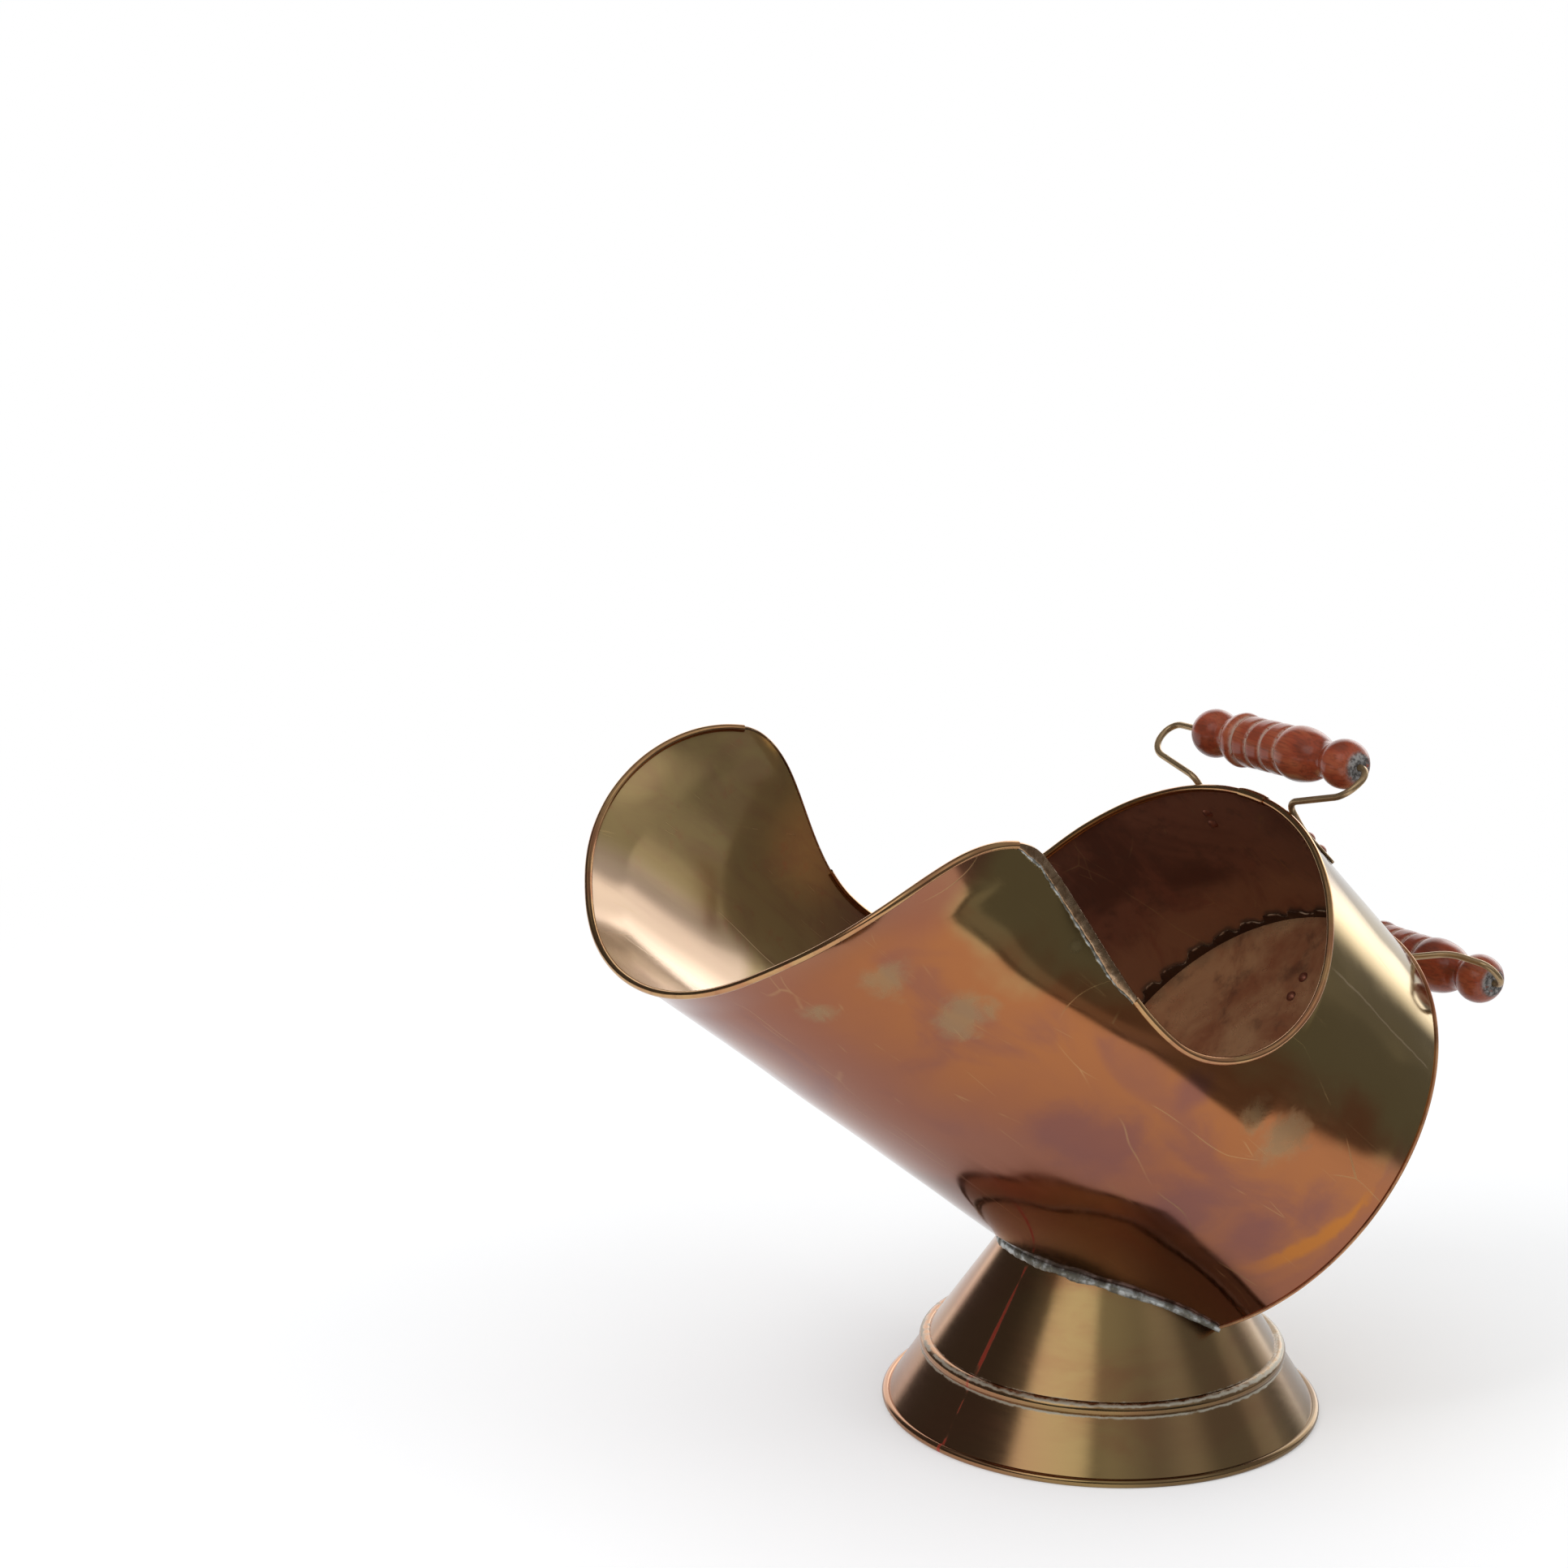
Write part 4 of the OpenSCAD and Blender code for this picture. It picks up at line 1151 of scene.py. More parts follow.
    def bead(self, seed: int) -> Outline:
        """Rolled edge: a circle whose radius wanders by 5% along the edge, and which steps in
        where the roll ends on the sheet.

        Args:
            seed: Fixes the wandering.

        Returns:
            The outline for strip().
        """
        def outline(travelled: Array) -> tuple[Array, Array]:
            """The circle at each distance travelled.

            Args:
                travelled: Distances along the edge.

            Returns:
                Offsets across and outwards.
            """
            turn = turns(self.bead_corners)[None, :]
            radius = self.bead_d / 2 * (1 + self.bead_waver * wander(travelled / 40, turn / 400, seed, 5))
            rolled = self.roll_step * soft_step(1 - np.abs(turn - self.roll_angle) / self.roll_spread)
            return circle(radius * (1 - rolled), turn)
        return outline

    def sleeve(self, travelled: Array) -> tuple[Array, Array]:
        """Circle pinched a little at both ends of the sleeve.

        Args:
            travelled: Distances along the sleeve.

        Returns:
            Offsets across and outwards.
        """
        share = travelled / travelled[-1]
        pinch = self.sleeve_pinch * np.abs(2 * share - 1) ** 6
        return circle(self.sleeve_d / 2 * (1 - pinch), turns(self.bead_corners))

    def build_edges(self, finish: Material) -> None:
        """Wired edges of hood and lip, and the sleeve where the hood's two halves meet.

        Args:
            finish: Material of the edges.
        """
        hood = np.linspace(0.002, self.hem_from, self.hood_steps)
        half_lip = np.linspace(self.corner, 5, self.lip_steps)
        lip = np.concatenate([half_lip, -half_lip[-2::-1]])
        reach = self.sleeve_half_angle / TUBE.hood_side_angle
        edges = [(f"wired_edge_{word}", f"{word}_hood_bead", side * hood, self.bead(11))
                 for side, word in SIDES]
        edges += [("wired_edge_lip", "lip_bead", lip, self.bead(12)),
                  ("edge_sleeve", "rim_sleeve", np.linspace(-reach, reach, self.sleeve_steps), self.sleeve)]
        for name, node, q, outline in edges:
            make_piece(name, node, [self.strip(q, outline)], Body.SCUTTLE, finish)

    def grown(self, travelled: Array) -> Array:
        """Share of full width along a folded strip, which narrows to the wired edge at both ends.

        Args:
            travelled: Distances along the strip.

        Returns:
            The shares.
        """
        near = soft_step(travelled / self.hem_grows)
        far = soft_step((travelled[-1] - travelled) / self.hem_ebbs)
        return (self.hem_end + (1 - self.hem_end) * near) * (self.hem_end + (1 - self.hem_end) * far)

    def fold(self, travelled: Array) -> tuple[Array, Array]:
        """Angle over the edge, whose free margin wanders by a sixth of its width.

        Args:
            travelled: Distances along the strip.

        Returns:
            Offsets across and outwards.
        """
        grown, low = self.grown(travelled), -TUBE.sheet_t / 2
        face, back = TUBE.sheet_t / 2 + self.lap_gap, -self.lap_gap
        reach = self.hem_w * (1 + 0.16 * wander(travelled / 14, 0.3, 21, 6)) * grown
        top = face + self.hem_t * (1 + 0.12 * wander(travelled / 9, 0.1, 22, 5)) * grown
        behind = back - self.hem_t
        first = [back, back, back - self.hem_t * 0.7, behind, behind, back - self.hem_t * 0.6,
                 reach - 0.5, reach, reach]
        second = [face, low, low, low + 0.3, top - 0.5, top, top, top - 0.35, face]
        return columns(first, travelled), columns(second, travelled)

    def run(self, travelled: Array) -> tuple[Array, Array]:
        """Bead of solder whose thickness wanders widely, so that it swells into drops.

        Args:
            travelled: Distances along the strip.

        Returns:
            Offsets across and outwards.
        """
        grown = self.grown(travelled)
        swells, drops = wander(travelled / 7, 0.2, 23, 6), wander(travelled / 2.2, 0.7, 24, 3)
        lumps = (1 + 0.5 * swells + 0.35 * drops) * grown
        first, second = circle(self.hem_solder_d / 2 * lumps, turns(self.hem_solder_corners))
        away = self.hem_w * grown * (1 + 0.10 * wander(travelled / 5, 0.4, 25, 4)) + self.hem_solder_d / 5
        return first * 1.1 + away, second + TUBE.sheet_t / 2 + self.hem_solder_d / 6

    def build_hems(self, finish: Material, solder: Material) -> None:
        """Folded strips over the side edges and the uneven solder along their inner margins.

        Args:
            finish: Material of the strips.
            solder: Material of the solder.
        """
        q = np.linspace(self.hem_from, self.corner, self.hem_steps)
        for side, word in SIDES:
            strip, bead = [self.strip(side * q, self.fold)], [self.strip(side * q, self.run)]
            make_piece(f"folded_strip_{word}", f"{word}_hem", strip, Body.SCUTTLE, finish)
            make_piece(f"strip_solder_{word}", f"{word}_hem_solder", bead, Body.SCUTTLE, solder)

    def disc(self) -> tuple[Array, Array]:
        """Disc of the back plate, as outlines from the middle of its rear face round the rounded
        rim to the middle of its inner face.

        Returns:
            The outlines, and whether each point is on the rear side.
        """
        rim, half = TUBE.radius + self.plate_edge, TUBE.sheet_t / 2
        rings, bend = np.array([*self.plate_rings, rim - self.rim_w]), np.linspace(-90, 90, 7)
        turn = turns(self.plate_corners)
        radius = np.concatenate([rings, rim - half + half * cos_deg(bend), rings[::-1]])[:, None]
        height = np.concatenate([0 * rings - 2 * half, -half + half * sin_deg(bend), 0 * rings])[:, None]
        uneven = wander(*circle(radius / self.waver_len, turn), 31, 3)
        free = soft_step((TUBE.radius - self.waver_margin - radius) / self.waver_fade)
        loops = TUBE.place_round(height + self.plate_waver * uneven * free, radius, turn)
        rear = np.arange(len(loops))[:, None] < len(loops) // 2
        return loops, rear + 0.0 * loops[..., 0]

    def tabs(self) -> tuple[Array, Array]:
        """Torn-looking ring of tabs inside the tube, whose height falls low in the notches.

        Returns:
            The outlines, and the share of each point's height.
        """
        spin = turns(self.tab_count * self.tab_steps)[:, None]
        share = (spin * self.tab_count / FULL_TURN + 0.22 * wander(spin / 30, 0.3, 33, 4)) % 1
        falls = self.tab_share + 0.08 * wander(spin / 19, 0.6, 34, 4)
        full = soft_step(share / self.notch_w) * soft_step((falls - share) / self.notch_w)
        torn = 0.78 + 0.22 * wander(spin / 7, 0.4, 32, 5)
        tip = self.tab_low + (self.notch_height + (1 - self.notch_height) * full) * self.tab_len * torn
        outer, root = TUBE.radius - TUBE.sheet_t - self.lap_gap, -TUBE.sheet_t / 2
        inner, brow = outer - TUBE.sheet_t, tip * self.tab_slope
        across = columns([outer, outer, outer - self.tab_round, inner + self.tab_round, inner, inner], tip)
        along = columns([root, brow, tip, tip, brow, root], tip)
        return TUBE.place_round(along, across, spin), np.array(self.tab_heights) + 0 * along

    def build_plate(self, finish: Material) -> None:
        """Back plate: the disc with its rounded rim, and the tabs.

        Args:
            finish: Material of the plate.
        """
        disc, rear = self.disc()
        tabs, high = self.tabs()
        fields = {"tab": np.concatenate([0 * rear, high], axis=None),
                  "outer": np.concatenate([rear, 0 * high], axis=None)}
        make_piece("back_plate", "back_plate", [skin(disc), skin(tabs, endless=True)], Body.SCUTTLE,
                   finish, fields)


# ---------- the foot ----------


@dataclass
class Foot:
    """The round foot: cone, band, skirt and wired edge stay as packed; the solder is made here."""

    band_z: float = 29.8
    cone_r: float = 84.7
    cone_draw: float = 0.665
    solder_d: float = 4.2
    solder_steps: int = 540
    solder_corners: int = 14
    solder_wide: float = 0.85
    solder_high: float = 1.25
    sunk: float = 0.5

    def joint_height(self, turn: Array) -> Array:
        """Height at which the cone meets the tube, at an angle round the foot.

        The cone's radius is full - cone_draw x height. On the tube's wall that gives a quadratic
        equation for the height, and behind the heel the cone meets the plane of the back plate.

        Args:
            turn: Angles round the foot.

        Returns:
            The heights.
        """
        (cos_t, sin_t), radius, draw = TUBE.slant, TUBE.radius, self.cone_draw
        plate_x, plate_z = TUBE.heel_x - radius * sin_t, TUBE.heel_z + radius * cos_t
        full = self.cone_r + draw * self.band_z
        u0 = -(full * cos_deg(turn) - plate_x) * sin_t - plate_z * cos_t
        u1 = draw * cos_deg(turn) * sin_t + cos_t
        v0, v1 = full * sin_deg(turn), -draw * sin_deg(turn)
        a, b, c = u1**2 + v1**2, u0 * u1 + v0 * v1, u0**2 + v0**2 - radius**2
        wall = (-b - np.sqrt(np.maximum(0, b * b - a * c))) / a
        reach = ((full - draw * wall) * cos_deg(turn) - plate_x) * cos_t + (wall - plate_z) * sin_t
        short = plate_z * sin_t - (full * cos_deg(turn) - plate_x) * cos_t
        return np.where(reach > 0, wall, short / (sin_t - draw * cos_deg(turn) * cos_t))

    def kept_outside(self, places: Array) -> Array:
        """Moves what lies too deep in the tube's wall or in the back plate out to half a millimetre
        below its outer face, by the shorter of the two ways.

        Args:
            places: Points in the part's frame.

        Returns:
            The points, moved where needed.
        """
        (cos_t, sin_t), radius = TUBE.slant, TUBE.radius
        x, v, z = places[..., 0] - TUBE.heel_x, places[..., 1], places[..., 2] - TUBE.heel_z
        s, u = x * cos_t + z * sin_t, z * cos_t - x * sin_t - radius
        far = np.hypot(u, v)
        past_wall, past_plate = radius - self.sunk - far, s + TUBE.sheet_t - self.sunk
        inside = (past_wall > 0) & (past_plate > 0)
        sideways = inside & (past_wall < past_plate)
        push = np.where(sideways, (radius - self.sunk) / far, 1.0)
        s = np.where(inside & ~sideways, self.sunk - TUBE.sheet_t, s)
        return TUBE.place(s, u * push, v * push)

    def build(self, brass: Material, solder: Material) -> None:
        """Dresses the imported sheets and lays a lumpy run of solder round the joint.

        Args:
            brass: Material of the sheets.
            solder: Material of the solder.
        """
        dress_nodes(brass, "foot_cone", "foot_band", "foot_skirt", "foot_bead")
        turn = turns(self.solder_steps)[:, None]
        height = self.joint_height(turn)
        radius = self.cone_r - self.cone_draw * (height - self.band_z)
        swells, drops = wander(turn / 24, 0.7, 41, 7), wander(turn / 5, 0.2, 42, 3)
        lumps = self.solder_d / 2 * (1 + 0.33 * swells + 0.14 * drops)
        first, second = circle(lumps, turns(self.solder_corners))
        x, y = circle(radius + first * self.solder_wide + self.solder_d / 8, turn)
        loops = np.stack([x, y, height + second * self.solder_high - self.solder_d / 4], axis=-1)
        ring = skin(self.kept_outside(loops), endless=True)
        make_piece("foot_joint_solder", "foot_solder", [ring], Body.SCUTTLE, solder)


# ---------- the handles ----------


@dataclass
class WireHandle:
    """A bent wire with two hammered, riveted ends, and its turned grip."""

    word: str = ""
    body: Body = Body.SCUTTLE
    bends: tuple[float, ...] = ()
    lean: float = 0.0
    reach: float = 72.0
    shift: float = 7.0
    wire_d: float = 3.2
    tongue_w: float = 8.0
    tongue_t: float = 1.6
    tongue_len: float = 26.0
    tongue_fade: float = 9.0
    tongue_square: float = 0.45
    lap_gap: float = 0.2
    wire_step: float = 0.8
    bend_steps: int = 14
    corners: int = 24
    grip_len: float = 114.0
    grip_corners: int = 72
    grip_uneven: float = 0.006
    cut_edge: float = 1.6
    cut_fade: float = 1.4
    ball_rows: int = 34
    swell_rows: int = 26
    ball_d: float = 23.6
    ball_inset: float = 10.4
    neck_d: float = 16.4
    neck_hollow: float = 0.3
    neck_at: float = 0.35
    ring_d: float = 24.6
    groove_depth: float = 1.1
    groove_dust: float = 0.75
    ring_count: int = 4
    rings_len: float = 41.5
    belly_len: float = 23.0
    belly_d: float = 25.6
    bore_d: float = 3.4

    @property
    def rise(self) -> float:
        """How much the grip climbs for each step to the left."""
        return np.tan(np.radians(self.lean))

    def rounded(self, route: Array) -> Array:
        """Route with its inner corners rounded: each corner gives way to an arc that touches both
        straights at radius x tan(half the turn) from it.

        Args:
            route: Corners of the route.

        Returns:
            Points of the rounded route.
        """
        points = [route[:1]]
        for before, corner, after, radius in zip(route[:-2], route[1:-1], route[2:], self.bends):
            arriving, leaving = unit(corner - before), unit(after - corner)
            turn = np.arccos(np.clip(arriving @ leaving, -1, 1))
            inwards = unit(leaving - arriving * (arriving @ leaving))
            start = corner - arriving * radius * np.tan(turn / 2)
            t = np.linspace(0, turn, self.bend_steps)[:, None]
            points.append(start + inwards * radius * (1 - np.cos(t)) + arriving * radius * np.sin(t))
        return np.concatenate([*points, route[-1:]])

    def even(self, path: Array) -> Array:
        """The same path with points about a wire step apart.

        Args:
            path: Points of the path.

        Returns:
            The new points.
        """
        travelled = travel(path)
        wanted = np.linspace(0, travelled[-1], int(travelled[-1] / self.wire_step) + 2)
        return np.stack([np.interp(wanted, travelled, path[:, k]) for k in range(3)], axis=1)

    def half_wire(self, route: Array, side: Array) -> Skin:
        """One half of the wire, from its hammered end into the grip.

        The outline is a rounded box whose half width and half thickness go from the tongue's to
        the wire's in a soft step over the stretch in front of the rivets. It is carried along the
        path square to it, and its width keeps to the given side as it starts.

        Args:
            route: Corners of the route in the part's frame.
            side: Direction of the tongue's width.

        Returns:
            What skin() gives.
        """
        path = self.even(self.rounded(route))
        tangent = unit(np.gradient(path, axis=0))
        wide = np.empty_like(path)
        for i, ahead in enumerate(tangent):
            carried = wide[i - 1] if i else side
            wide[i] = unit(carried - ahead * (carried @ ahead))
        thick = np.cross(tangent, wide)
        travelled = travel(path)[:, None]
        flat = 1 - soft_step((travelled - self.tongue_len + self.tongue_fade / 3) / self.tongue_fade)
        tip = np.sqrt(np.clip(1 - np.clip(1 - travelled / (self.tongue_w / 2), 0, 1) ** 2, 0.02, 1))
        half_w = (self.wire_d / 2 + (self.tongue_w - self.wire_d) / 2 * flat) * (1 - flat * (1 - tip))
        half_t = self.wire_d / 2 + (self.tongue_t - self.wire_d) / 2 * flat
        power = 1 - self.tongue_square * flat
        c, s = circle(1.0, turns(self.corners))
        first, second = half_w * np.sign(c) * np.abs(c) ** power, half_t * np.sign(s) * np.abs(s) ** power
        return skin(path[:, None] + wide[:, None] * first[..., None] + thick[:, None] * second[..., None])

    def grip_profile(self) -> tuple[Array, Array]:
        """Half section of the grip.

        Ball, neck, rings, belly, neck and ball: balls are circles, each ring and the belly is a
        crown of 1 - |2f - 1| to a power over its stretch, and the necks hollow in between.

        Returns:
            (radius, height) pairs, and how worn each place is.
        """
        ball_r, neck_r, ring_r, half = self.ball_d / 2, self.neck_d / 2, self.ring_d / 2, self.grip_len / 2
        ball_z = half - self.ball_inset
        ball_end = ball_z - np.sqrt(ball_r**2 - neck_r**2)
        gap = (2 * ball_end - self.rings_len - self.belly_len) / 2
        groove_r, pitch = ring_r - self.groove_depth, self.rings_len / self.ring_count

        def ball(middle: float, z0: float, z1: float) -> Array:
            """Arc of a ball about a middle on the axis."""
            z = np.linspace(z0, z1, self.ball_rows)
            return np.stack([np.sqrt(ball_r**2 - (z - middle) ** 2), z], axis=1)

        def swell(z0: float, z1: float, r0: float, r1: float, crown: float, power: float) -> Array:
            """Straight slope plus the crown.

            Args:
                z0, z1: Heights of the two ends.
                r0, r1: Radii of the two ends.
                crown: Height of the crown.
                power: How square it is.

            Returns:
                (radius, height) pairs.
            """
            f = np.linspace(0, 1, self.swell_rows)
            hump = crown * (1 - np.abs(2 * f - 1) ** power)
            return np.stack([r0 + (r1 - r0) * f + hump, z0 + (z1 - z0) * f], axis=1)

        grooves = gap - ball_end + pitch * np.arange(self.ring_count + 1)
        opening = (neck_r, groove_r, self.groove_depth + (ring_r - neck_r) / 2, 3)
        further = (groove_r, groove_r, self.groove_depth, 5)
        rings = [swell(z, z + pitch, *(further if i else opening)) for i, z in enumerate(grooves[:-1])]
        start, slack = ring_r - self.neck_hollow, 0.5
        belly = swell(grooves[-1] + slack, grooves[-1] + self.belly_len, start, neck_r,
                      self.belly_d / 2 - (start + neck_r) / 2, 2.6)
        hollow_z = ball_end - gap * self.neck_at
        necks = [np.array([[neck_r - self.neck_hollow, z]]) for z in (-hollow_z, hollow_z)]
        profile = np.concatenate([
            [[self.bore_d / 2, -half]], ball(-ball_z, -half, -ball_end), necks[0], *rings,
            belly, necks[1], ball(ball_z, ball_end, half), [[self.bore_d / 2, half]]])
        near = np.abs(profile[:, 1, None] - grooves[None, :]).min(axis=1)
        return profile, np.exp(-((near / self.groove_dust) ** 2))

    def build_grip(self, middle: Array, finish: Material) -> None:
        """Turned grip: the half section carried round, with its bore, laid along the handle.

        Args:
            middle: Middle of the grip in the part's frame.
            finish: Material of the grip.
        """
        profile, worn = self.grip_profile()
        half, bore_ends = self.grip_len / 2, self.grip_len / 2 - 0.01
        closed = np.concatenate([profile, [[self.bore_d / 2, z] for z in (bore_ends, 0.0, -bore_ends)]])
        x, y = circle(closed[:, 0, None], turns(self.grip_corners))
        z = closed[:, 1, None] + 0 * x
        uneven = 1 + self.grip_uneven * wander(z / 30, x / 20, 51, 4)
        axis = unit(TUBE.way(0.0, self.rise, 1.0))
        first = unit(np.cross(axis, UP))
        turn = np.stack([first, np.cross(axis, first), axis], axis=0)
        placed = np.stack([x * uneven, y * uneven, z], axis=-1) @ turn + middle
        ends = soft_step((np.abs(profile[:, 1]) - half + self.cut_edge) / self.cut_fade)
        fields = {"worn": np.concatenate([worn, np.zeros(3)])[:, None] + 0 * x,
                  "end": np.concatenate([ends, np.ones(3)])[:, None] + 0 * x}
        make_piece(f"{self.word}_handle_grip", f"{self.word}_grip", [skin(placed, endless=True)], self.body,
                   finish, fields)

    def half_route(self, side: int) -> tuple[Sequence[Sequence[float]], Sequence[float]]:
        """Corners of one half's route and the tongue's width, both as (s, u, v)."""
        raise NotImplementedError

    def build(self, wire: Material, wood: Material) -> None:
        """Bends both halves of the wire, which meet in the grip's middle, and turns the grip.

        Args:
            wire: Material of the wire.
            wood: Material of the grip.
        """
        halves = [self.half_route(side) for side, _ in SIDES]
        skins = [self.half_wire(TUBE.place(*np.array(route).T), TUBE.way(*width)) for route, width in halves]
        make_piece(f"{self.word}_handle_wire", f"{self.word}_wire", skins, Body.SCUTTLE, wire)
        self.build_grip(TUBE.place(*halves[0][0][-1]), wood)


@dataclass
class TopHandle(WireHandle):
    """The handle on the hood. Its legs and arms stand a little towards the right side."""

    word: str = "top"
    body: Body = Body.TOP_GRIP
    bends: tuple[float, ...] = (30.0, 6.7, 11.0, 7.0)
    lean: float = 4.3
    reach: float = 72.8
    leg_back: float = 22.0
    leg_angle: float = 18.0
    leg_turn: float = 3.8
    leg_toe: float = 17.4
    wire_at: float = 7.5
    arm_in: float = 2.0
    grip_ahead: float = 2.5
    grip_rise: float = 24.9
    arm_rise: float = 8.0
    arm_ahead: float = 4.0
    rim_pass: float = 2.0
    rim_clear: float = 0.7
    bead_d: float = 3.6

    def leg(self, side: int) -> tuple[Array, Array, Array, Array]:
        """Frame of a leg, in (s, u, v).

        Args:
            side: 1 for the left leg, -1 for the right one.

        Returns:
            The rivets' middle, the way to the first bend, the way to the side and the way off.
        """
        angle = self.leg_angle - side * self.leg_turn
        slope = TUBE.hood_flare / TUBE.hood_len
        radial = np.array([0.0, cos_deg(angle), side * sin_deg(angle)])
        around = np.array([0.0, -sin_deg(angle), side * cos_deg(angle)])
        ahead = np.array([1.0, 0.0, 0.0])
        along = unit(ahead + radial * slope) * cos_deg(self.leg_toe) - around * sin_deg(self.leg_toe)
        off = unit(radial - ahead * slope)
        s = TUBE.hood_len - self.leg_back
        return radial * TUBE.wall_radius(s, angle) + ahead * s, along, np.cross(off, along), off

    def half_route(self, side: int) -> tuple[Sequence[Sequence[float]], Sequence[float]]:
        """From the riveted leg over the hood's rim, up the arm and into the grip.

        Args:
            side: 1 for the left half, -1 for the right one.

        Returns:
            Corners of the route and the tongue's width, both as (s, u, v).
        """
        rim_u = TUBE.radius + TUBE.hood_flare
        grip_s, grip_u, arm_u = TUBE.hood_len + self.grip_ahead, rim_u + self.grip_rise, rim_u + self.arm_rise
        lift = self.lap_gap + self.tongue_t / 2
        over = self.lap_gap + self.wire_d / 2 + self.rim_clear + (self.bead_d - TUBE.sheet_t) / 2
        bend_at = self.leg_back / cos_deg(self.leg_toe) + self.rim_pass
        arm_v, end_v = side * (self.reach - self.arm_in) - self.shift, side * self.reach - self.shift
        middle, along, across, off = self.leg(side)
        return [middle - along * self.tongue_len / 2 + off * lift, middle + along * self.wire_at + off * lift,
                middle + along * bend_at + off * over,
                [grip_s + self.arm_ahead, arm_u + arm_v * self.rise, arm_v],
                [grip_s, grip_u + end_v * self.rise, end_v], [grip_s, grip_u, 0.0]], across


@dataclass
class RearHandle(WireHandle):
    """The handle on the back plate. Its arms stand a little towards the right side."""

    word: str = "rear"
    body: Body = Body.REAR_GRIP
    bends: tuple[float, ...] = (30.0, 4.0, 26.0, 8.0, 7.0)
    lean: float = 3.2
    leg_u: float = 70.5
    leg_v: float = 16.0
    wire_at: float = 8.8
    arm_in: float = 1.0
    grip_back: float = 40.0
    grip_u: float = 115.5
    arm_back: float = 25.5
    arm_rise: float = 3.0
    crown_back: float = 19.0
    crown_rise: float = 1.3
    crown_reach: float = 50.0
    bend_along: float = 27.5
    plate_clear: float = 1.1

    def half_route(self, side: int) -> tuple[Sequence[Sequence[float]], Sequence[float]]:
        """From the riveted leg past the plate's edge, along the arm and into the grip.

        Args:
            side: 1 for the left half, -1 for the right one.

        Returns:
            Corners of the route and the tongue's width, both as (s, u, v).
        """
        face, v = -TUBE.sheet_t - self.lap_gap, side * self.leg_v
        back, over = face - self.tongue_t / 2, face - self.wire_d / 2 - self.plate_clear
        arms = [(self.crown_back, self.crown_rise, self.crown_reach),
                (self.arm_back, self.arm_rise, self.reach - self.arm_in), (self.grip_back, 0.0, self.reach)]
        places = [(-off, up, side * out - self.shift) for off, up, out in arms]
        return [[back, self.leg_u - self.tongue_len / 2, v], [back, self.leg_u + self.wire_at, v],
                [over, self.leg_u + self.bend_along, v],
                *([s, self.grip_u + up + at * self.rise, at] for s, up, at in places),
                [-self.grip_back, self.grip_u, 0.0]], (0.0, 0.0, 1.0)


# ---------- the studio ----------


@dataclass(frozen=True)
class SoftLight:
    """A soft round light that only mirrors see. Its middle is given by degrees to the right of
    the way to the camera and above the floor; it is full within near degrees and gone past far."""

    side: float
    rise: float
    near: float
    far: float
    strength: float


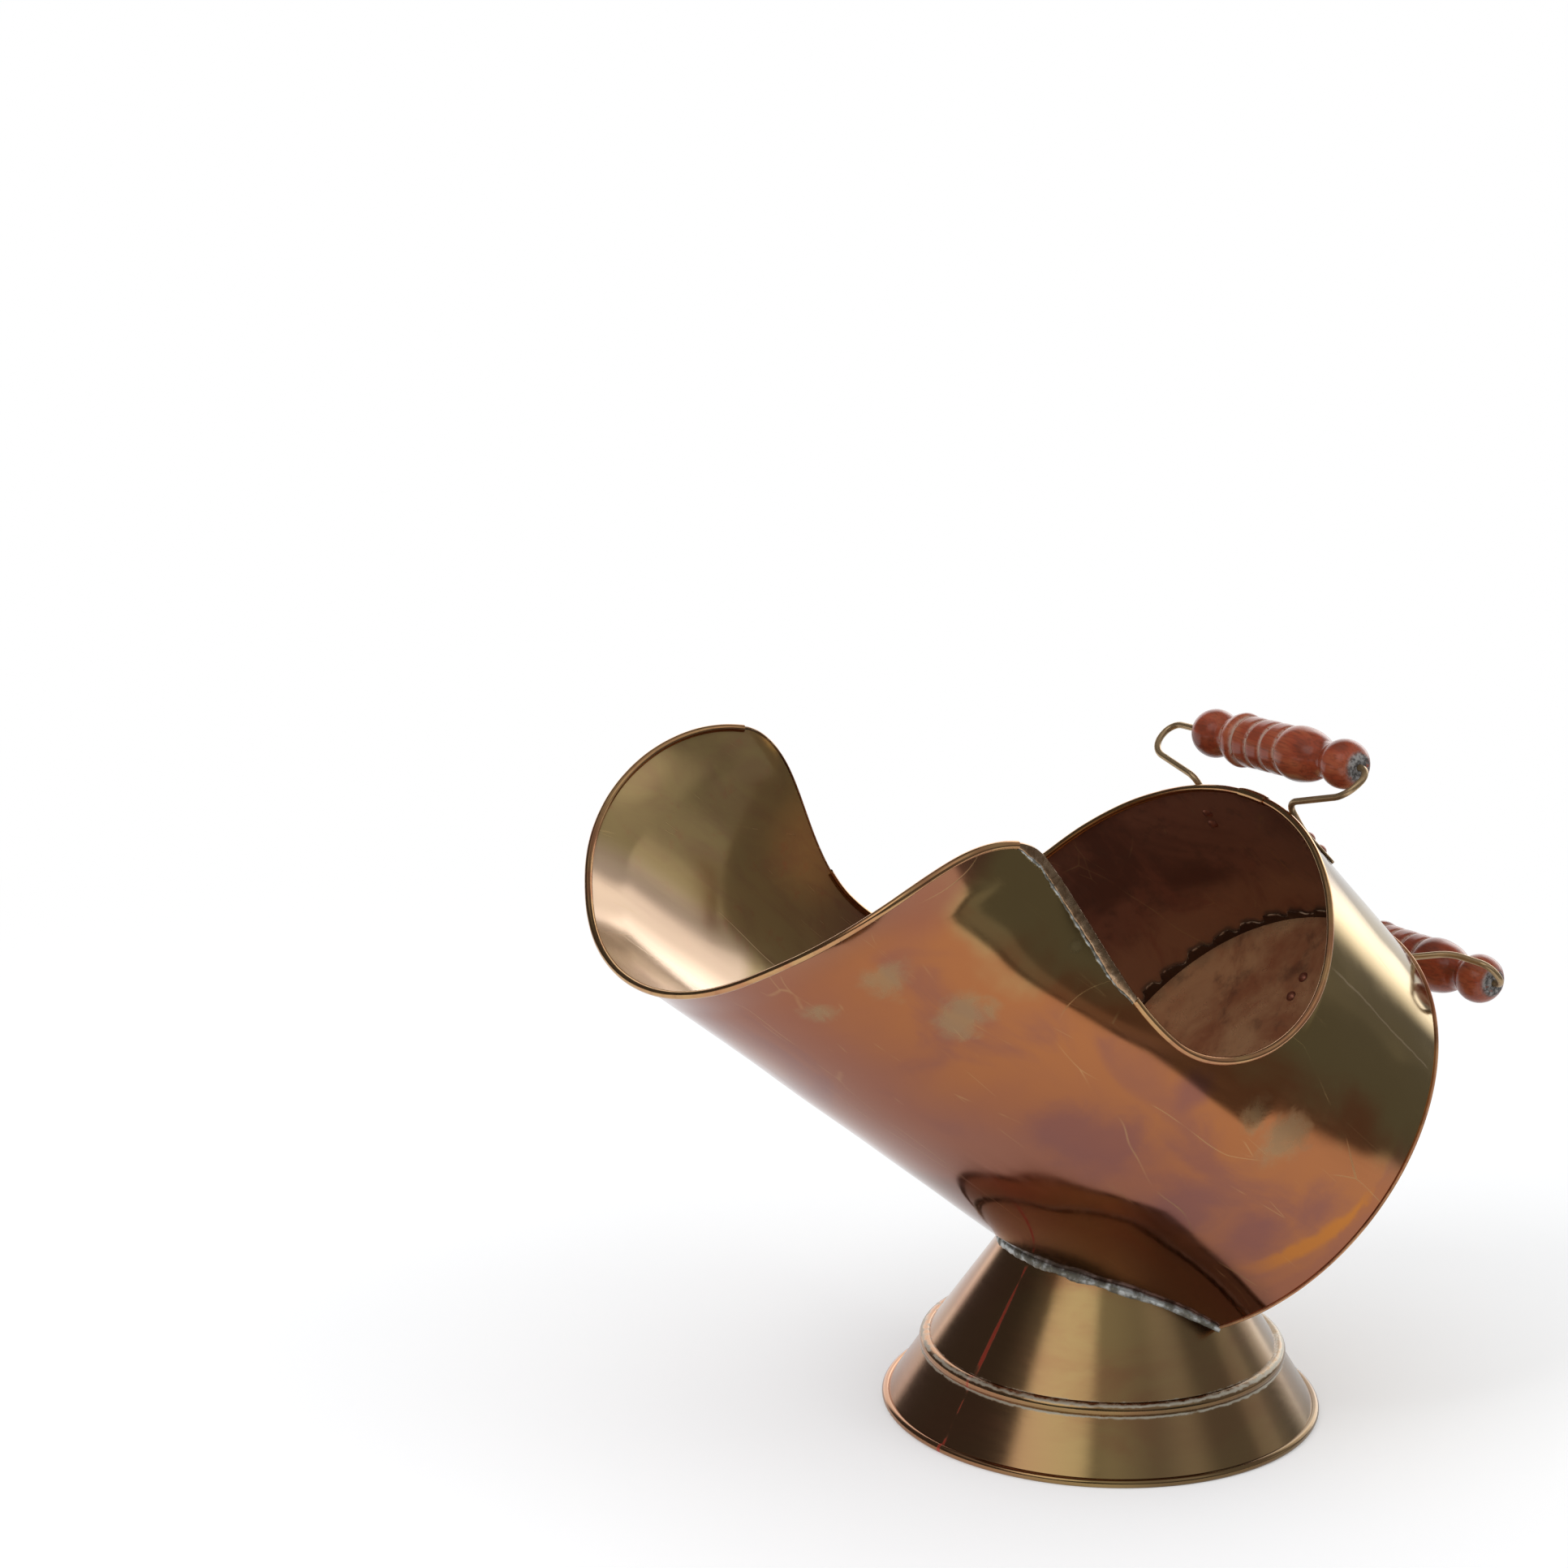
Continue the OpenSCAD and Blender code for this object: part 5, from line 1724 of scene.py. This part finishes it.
@dataclass
class Studio:
    """Camera, floor, world and lamps."""

    focal: float = 5102.83
    image: int = 1932
    sensor: float = 36.0
    pitch: float = 14.67
    roll: float = 0.945
    heading: float = 0.543
    scuttle_x: float = 156.3
    scuttle_y: float = 1848.62
    camera_z: float = 785.92
    sight: tuple[float, float] = (0.05, 50.0)
    lamp_aim: Triple = (0.0, 0.0, 0.15)
    front: Triple = (0.587, 0.810, 0.0)
    right: Triple = (-0.810, 0.587, 0.0)
    floor_r: float = 6000.0
    floor_corners: int = 96
    paper: Colour = (0.80, 0.81, 0.82)
    paper_glow: float = 0.20
    room_glow: float = 0.17
    dim: float = 0.07
    even_light: float = 0.85
    lights: tuple[SoftLight, ...] = (
        SoftLight(180, 0, 35, 47, 1.7), SoftLight(-30, 42, 14, 22, 1.2), SoftLight(35, 45, 20, 34, 0.42),
        SoftLight(95, 38, 30, 46, 0.30), SoftLight(-60, 70, 20, 40, 0.3), SoftLight(148, 20, 18, 25, 1.35),
        SoftLight(106, 18, 5, 11, 0.4), SoftLight(120, 3, 8, 24, 0.14))

    def camera(self) -> None:
        """Camera as fitted to the photograph: the scuttle stands at scuttle_x, scuttle_y in the
        camera's floor plan, turned by the heading, so the camera's place and its right, up and
        back directions are carried into the scuttle's own frame."""
        c, s = np.cos(self.heading), np.sin(self.heading)
        to_part = np.array([[-c, -s, 0.0], [s, -c, 0.0], [0.0, 0.0, 1.0]])
        pitch, roll = np.radians(self.pitch), np.radians(self.roll)
        right, up = np.array([1.0, 0.0, 0.0]), np.array([0.0, np.sin(pitch), np.cos(pitch)])
        look = np.array([0.0, np.cos(pitch), -np.sin(pitch)])
        turned_right = np.cos(roll) * right + np.sin(roll) * up
        turned_up = -np.sin(roll) * right + np.cos(roll) * up
        axes = to_part @ np.stack([turned_right, turned_up, -look], axis=1)
        where = to_part @ np.array([-self.scuttle_x, -self.scuttle_y, self.camera_z])
        data = bpy.data.cameras.new("camera")
        data.sensor_width = self.sensor
        data.lens = self.focal * self.sensor / self.image
        data.clip_start, data.clip_end = self.sight
        camera = put_in_scene("camera", data)
        camera.matrix_world = Matrix.Translation(Vector(where * METRE)) @ Matrix(axes.tolist()).to_4x4()
        bpy.context.scene.camera = camera

    def floor(self) -> None:
        """Pale round floor that is white to the camera far off. To mirrors it ends on the right,
        where a dim room with one fainter patch follows. The edge is straight beside the scuttle
        and slants away behind it."""
        mesh = bpy.data.meshes.new("floor")
        ring = np.stack(np.broadcast_arrays(*circle(self.floor_r, turns(self.floor_corners)), 0.0), axis=1)
        mesh.from_pydata(ring * METRE, [], [list(range(self.floor_corners))])
        material, g = new_material("floor")
        place = g.add("ShaderNodeTexCoord", out="Object")
        front, right = g.along(place, self.front), g.along(place, self.right)
        patch = right.over(0.355, 0.37) * right.over(0.52, 0.47) * front.over(0.28, 0.33) * 0.16
        dark = right.over(0.30, 0.33) * (right + front).over(0.50, 0.56) * (1.0 - patch)
        camera, glossy = g.rays()
        white, glow, room = (g.add("ShaderNodeEmission", {}, {"Strength": strength})
                             for strength in (1.0, self.paper_glow, self.room_glow))
        paper = g.add("ShaderNodeBsdfDiffuse", {}, {"Color": self.paper})
        lit = g.add("ShaderNodeAddShader", {}, {0: paper, 1: glow})
        lit = g.add("ShaderNodeMixShader", {}, {0: camera * g.length(place).over(0.40, 1.10), 1: lit, 2: white})
        shade = g.add("ShaderNodeMixShader", {}, {0: glossy * dark, 1: lit, 2: room})
        g.add("ShaderNodeOutputMaterial", {}, {"Surface": shade})
        mesh.materials.append(material)
        put_in_scene("floor", mesh)

    def world(self) -> None:
        """White for the camera and even soft light on matt surfaces. Mirrors see a dim room with
        a white backdrop behind the scuttle and the soft lights."""
        world = bpy.data.worlds.new("studio")
        bpy.context.scene.world = world
        world.use_nodes = True
        g = Graph(world.node_tree)
        way = g.add("ShaderNodeTexCoord", out="Generated")
        mirror = self.dim
        for light in self.lights:
            level = cos_deg(light.side) * np.array(self.front) + sin_deg(light.side) * np.array(self.right)
            aim = cos_deg(light.rise) * level + sin_deg(light.rise) * np.array(UP)
            seen = g.along(way, tuple(aim.tolist())).over(float(cos_deg(light.far)), float(cos_deg(light.near)))
            mirror = mirror + seen * light.strength
        camera, glossy = g.rays()
        strength = camera + glossy * mirror + (1.0 - camera) * (1.0 - glossy) * self.even_light
        sky = g.add("ShaderNodeBackground", {}, {"Color": (1.0, 1.0, 1.0), "Strength": strength})
        g.add("ShaderNodeOutputWorld", {}, {"Surface": sky})

    def lamp(self, name: str, where: Triple, size: float, watts: float) -> None:
        """Square soft lamp, turned to the scuttle's middle.

        Args:
            name: Name of the lamp.
            where: Its place in metres.
            size: Side of the square in metres.
            watts: Its power.
        """
        data = bpy.data.lights.new(name, "AREA")
        data.shape, data.size, data.energy = "SQUARE", size, watts
        lamp = put_in_scene(name, data)
        lamp.location = where
        aim = Vector(self.lamp_aim) - Vector(where)
        lamp.rotation_euler = aim.to_track_quat("-Z", "Y").to_euler()
        lamp.visible_glossy = False

    def build(self) -> None:
        """Sets up everything but the object."""
        self.camera()
        self.floor()
        self.world()
        self.lamp("key", (1.6, 0.2, 1.9), 0.9, 14.0)
        self.lamp("fill", (-1.2, 1.4, 1.6), 1.1, 7.0)
        bpy.context.scene.view_settings.view_transform = "Standard"


def main() -> None:
    """Builds the dressed scuttle and its studio."""
    logging.basicConfig(level=logging.INFO, format="%(message)s")
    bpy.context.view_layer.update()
    Studio().build()
    solder = SoftSolder().make()
    edge = AgedBrass("edge_brass", (0.50, 0.30, 0.135), (0.44, 0.20, 0.100), cloud=40, dirt_share=0.5,
                     rough=0.17).make()
    body = SheetBody()
    body.build_tube(TubeBrass().make())
    body.build_edges(edge)
    strip = AgedBrass("strip_brass", (0.33, 0.20, 0.110), (0.54, 0.37, 0.23), cloud=4.5, dirt_share=0.55,
                      rough=0.22, grain=0.03, swell=0.20).make()
    body.build_hems(strip, solder)
    body.build_plate(PlateBrass().make())
    Foot().build(FootBrass().make(), solder)
    wire = AgedBrass("wire_brass", (0.36, 0.25, 0.135), (0.45, 0.31, 0.17), cloud=24, dirt_share=0.4,
                     rough=0.32, share=0.85).make()
    rivet = AgedBrass("rivet_copper", (0.20, 0.066, 0.040), (0.30, 0.110, 0.066), cloud=4, dirt_share=0.5,
                      rough=0.36, dirt=(0.06, 0.03, 0.02), grain=0.004, share=0.7).make()
    dress_nodes(rivet, "top_rivets", "rear_rivets")
    TopHandle().build(wire, TurnedWood("top_wood").make())
    RearHandle().build(wire, TurnedWood("rear_wood").make())


if __name__ == "__main__":
    main()
